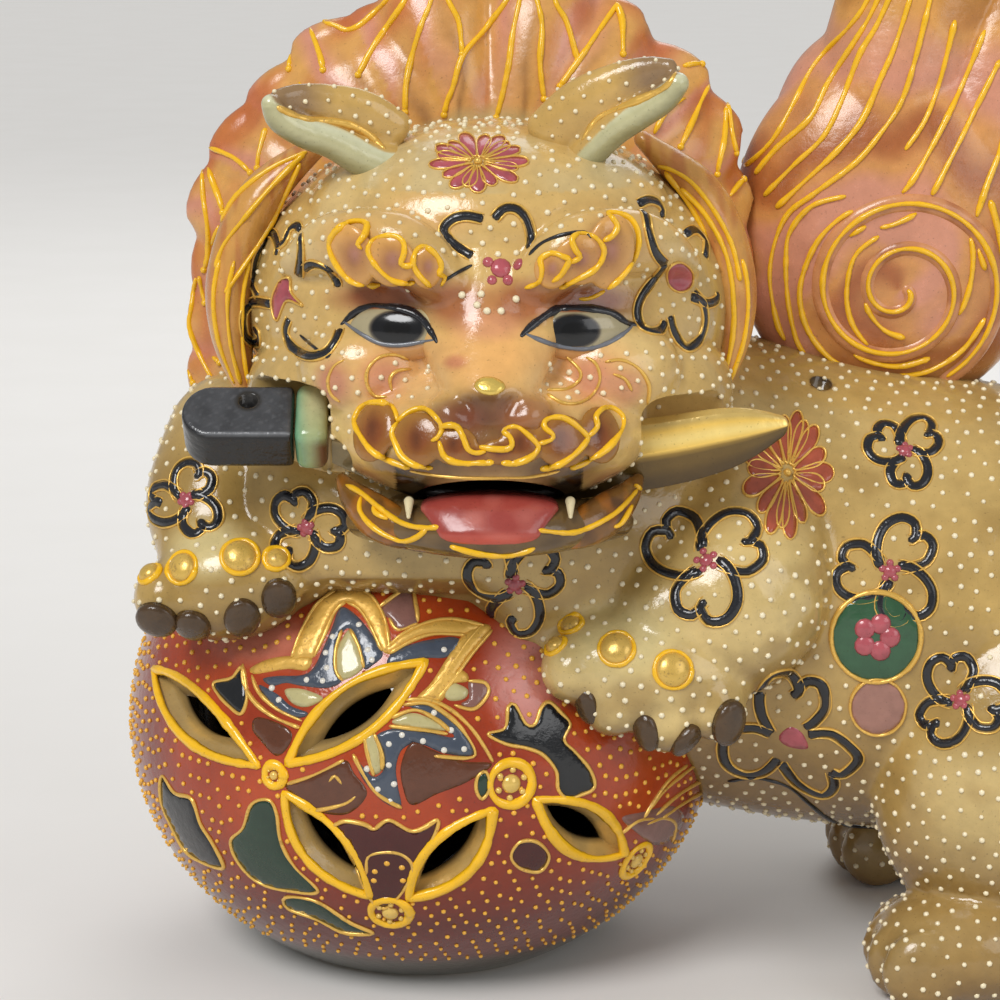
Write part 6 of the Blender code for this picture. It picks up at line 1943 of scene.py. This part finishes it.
far_side = [
    ((0.030, 0.060, 0.120), (0.0, 1.0, 0.15), 0.013, 0.0),
    ((0.085, 0.060, 0.105), (0.1, 1.0, 0.2), 0.014, 40.0),
    ((0.130, 0.060, 0.085), (0.2, 1.0, 0.1), 0.014, -20.0),
    ((0.085, 0.060, 0.070), (0.0, 1.0, -0.1), 0.012, 80.0),
    ((0.125, 0.055, 0.040), (0.1, 1.0, 0.0), 0.012, 10.0),
    ((-0.005, 0.060, 0.130), (-0.1, 1.0, 0.2), 0.011, 60.0),
    ((0.178, 0.000, 0.085), (1.0, 0.0, 0.1), 0.014, 0.0),
    ((0.172, 0.030, 0.050), (1.0, 0.5, 0.0), 0.012, 30.0),
    ((0.172, -0.030, 0.050), (1.0, -0.5, 0.0), 0.012, -30.0),
    ((0.150, -0.010, 0.130), (0.4, -0.1, 1.0), 0.012, 15.0),
    ((-0.062, 0.000, 0.135), (-1.0, 0.0, 0.2), 0.012, 0.0)]
for centre, outward, size, turn in far_side:
    three_petals(by_hand(body_coat, centre, outward, size, turn, 0.03), 0.08)
for centre, outward, size, count in (((0.055, 0.060, 0.088), (0.0, 1.0, 0.0), 0.013, 16),
                                     ((0.155, 0.060, 0.100), (0.6, 1.0, 0.2), 0.011, 14)):
    find = by_hand(body_coat, centre, outward, size, 0.0, 0.03)
    chrysanthemum(find, (0.0, 0.0), 1.0, 1.0, count, 0.08, 0.0006)
fold_lines = {"left": "277,107 292,114 308,119 328,121 348,125 362,131 374,139 385,149",
              "right": "582,140 597,119 616,109 631,103 645,97 660,90 669,83 676,72"}
for word, ear in ears.items():
    gold.stroke(by_lens(ear), strokes(fold_lines[word])[0], 3.0, 0.0017, 0.0006, taper=6.0)


def buried_in(spots, facings, skins, reach=0.0012):
    """Which places lie under one of the given skins."""
    hidden = np.zeros(len(spots), bool)
    for number, (spot, facing) in enumerate(zip(spots, facings)):
        origin = Vector(spot)
        for skin in skins:
            near, normal, _, gap = skin.tree.find_nearest(origin)
            if near is not None and (gap < reach or (origin - near).dot(normal) < 0.0):
                hidden[number] = True
                break
    return hidden


def strew(skin, allowed, spacing, clearance, seed, small, large, skins):
    chosen = np.array(scatter(skin, allowed, spacing, clearance, seed))
    hidden = buried_in(skin.spots[chosen], skin.facing[chosen], skins)
    for index in chosen[~hidden]:
        white.dot(skin.spots[index], skin.facing[index], white.draw.uniform(small, large), 0.00055)


for x, y in strokes(brow_beads)[0]:
    met = face(x, y)
    if met:
        white.dot(*met, 0.00085, 0.0008, 9)
above_feet = body_coat.spots[:, 2] > 0.004
strew(body_coat, above_feet, spacing=0.0032, clearance=0.0017, seed=42, small=0.00056, large=0.00080,
      skins=[mane_coat, tail_coat, head_coat, ball_coat])
bare = np.zeros(len(head_coat.spots), bool)
bare_boxes = ((330, 285, 650, 352), (430, 330, 545, 420), (350, 398, 640, 560), (420, 255, 560, 300))
for left, top, right, bottom in bare_boxes:
    across = (head_coat.x > left) & (head_coat.x < right)
    bare |= head_coat.front & across & (head_coat.y > top) & (head_coat.y < bottom)
strew(head_coat, ~bare & ~(in_mouth & (buried > 0)), spacing=0.0031, clearance=0.0015, seed=43,
      small=0.00054, large=0.00076,
      skins=[mane_coat, body_coat, *scrolls.values(), *side_locks.values(), *ears.values()])
for ear in ears.values():
    back_side = (ear.lip < 0.05) & (ear.facing[:, 2] > -0.2)
    strew(ear, back_side, spacing=0.0031, clearance=0.0014, seed=44, small=0.00045, large=0.00065,
          skins=[head_coat, mane_coat])
scroll_slip.set("face_slip_lines", yellow_slip, "swirl_yellow")
black.set("black_strokes", fire("stroke_black_enamel", "1c1d22", 0.20, 0.0, 0.6, 0.5), "eye_black")
lid.set("lower_lid_lines", fire("lid_grey_enamel", "6a6d74", 0.14, 0.0, 0.3), "eye_black")
gold.set("gold_lines", gold_leaf, "boss_gold")
blush.set("pink_petals", fire("petal_pink_enamel", "a85058", 0.16, 0.0, 0.8), "tongue_red")
roundel.set("green_roundel", fire("roundel_green_enamel", "2f5438", 0.12, 0.0, 0.5), "collar_celadon")
brick.set("brick_petals", fire("petal_brick_enamel", "9a4a34", 0.18, 0.0, 0.8), "tongue_red")
mauve_disc.set("mauve_disc", fire("disc_mauve_enamel", "9a6f62", 0.14, 0.0, 0.5), "tongue_red")
white.set("white_slip_dots", fire("dot_white_slip", "ecdfbc", 0.22, 0.0, 0.25, 0.25), "skin_tan")
body_coat.dry(skin_glaze, "skin_tan",
              ("body", "foreleg_left", "foreleg_right", "forepaw_left", "forepaw_right",
               "hind_leg_near", "hind_leg_far", "hind_foot_near", "hind_foot_far"))
head_coat.dry(skin_glaze, "skin_tan", ("head",))
for word, eye in eyes.items():
    eye.dry(wet_glaze, "eye_black", ("eye_" + word,))
for key, scroll in scrolls.items():
    slots = {"brow": "brow_ochre", "moustache": "moustache_brown", "beard": "beard_ochre"}
    scroll.dry(scroll_glaze, slots[key.split("_")[0]], (key,))
for word, ear in ears.items():
    ear.dry(skin_glaze, "ear_celadon", ("ear_" + word,))
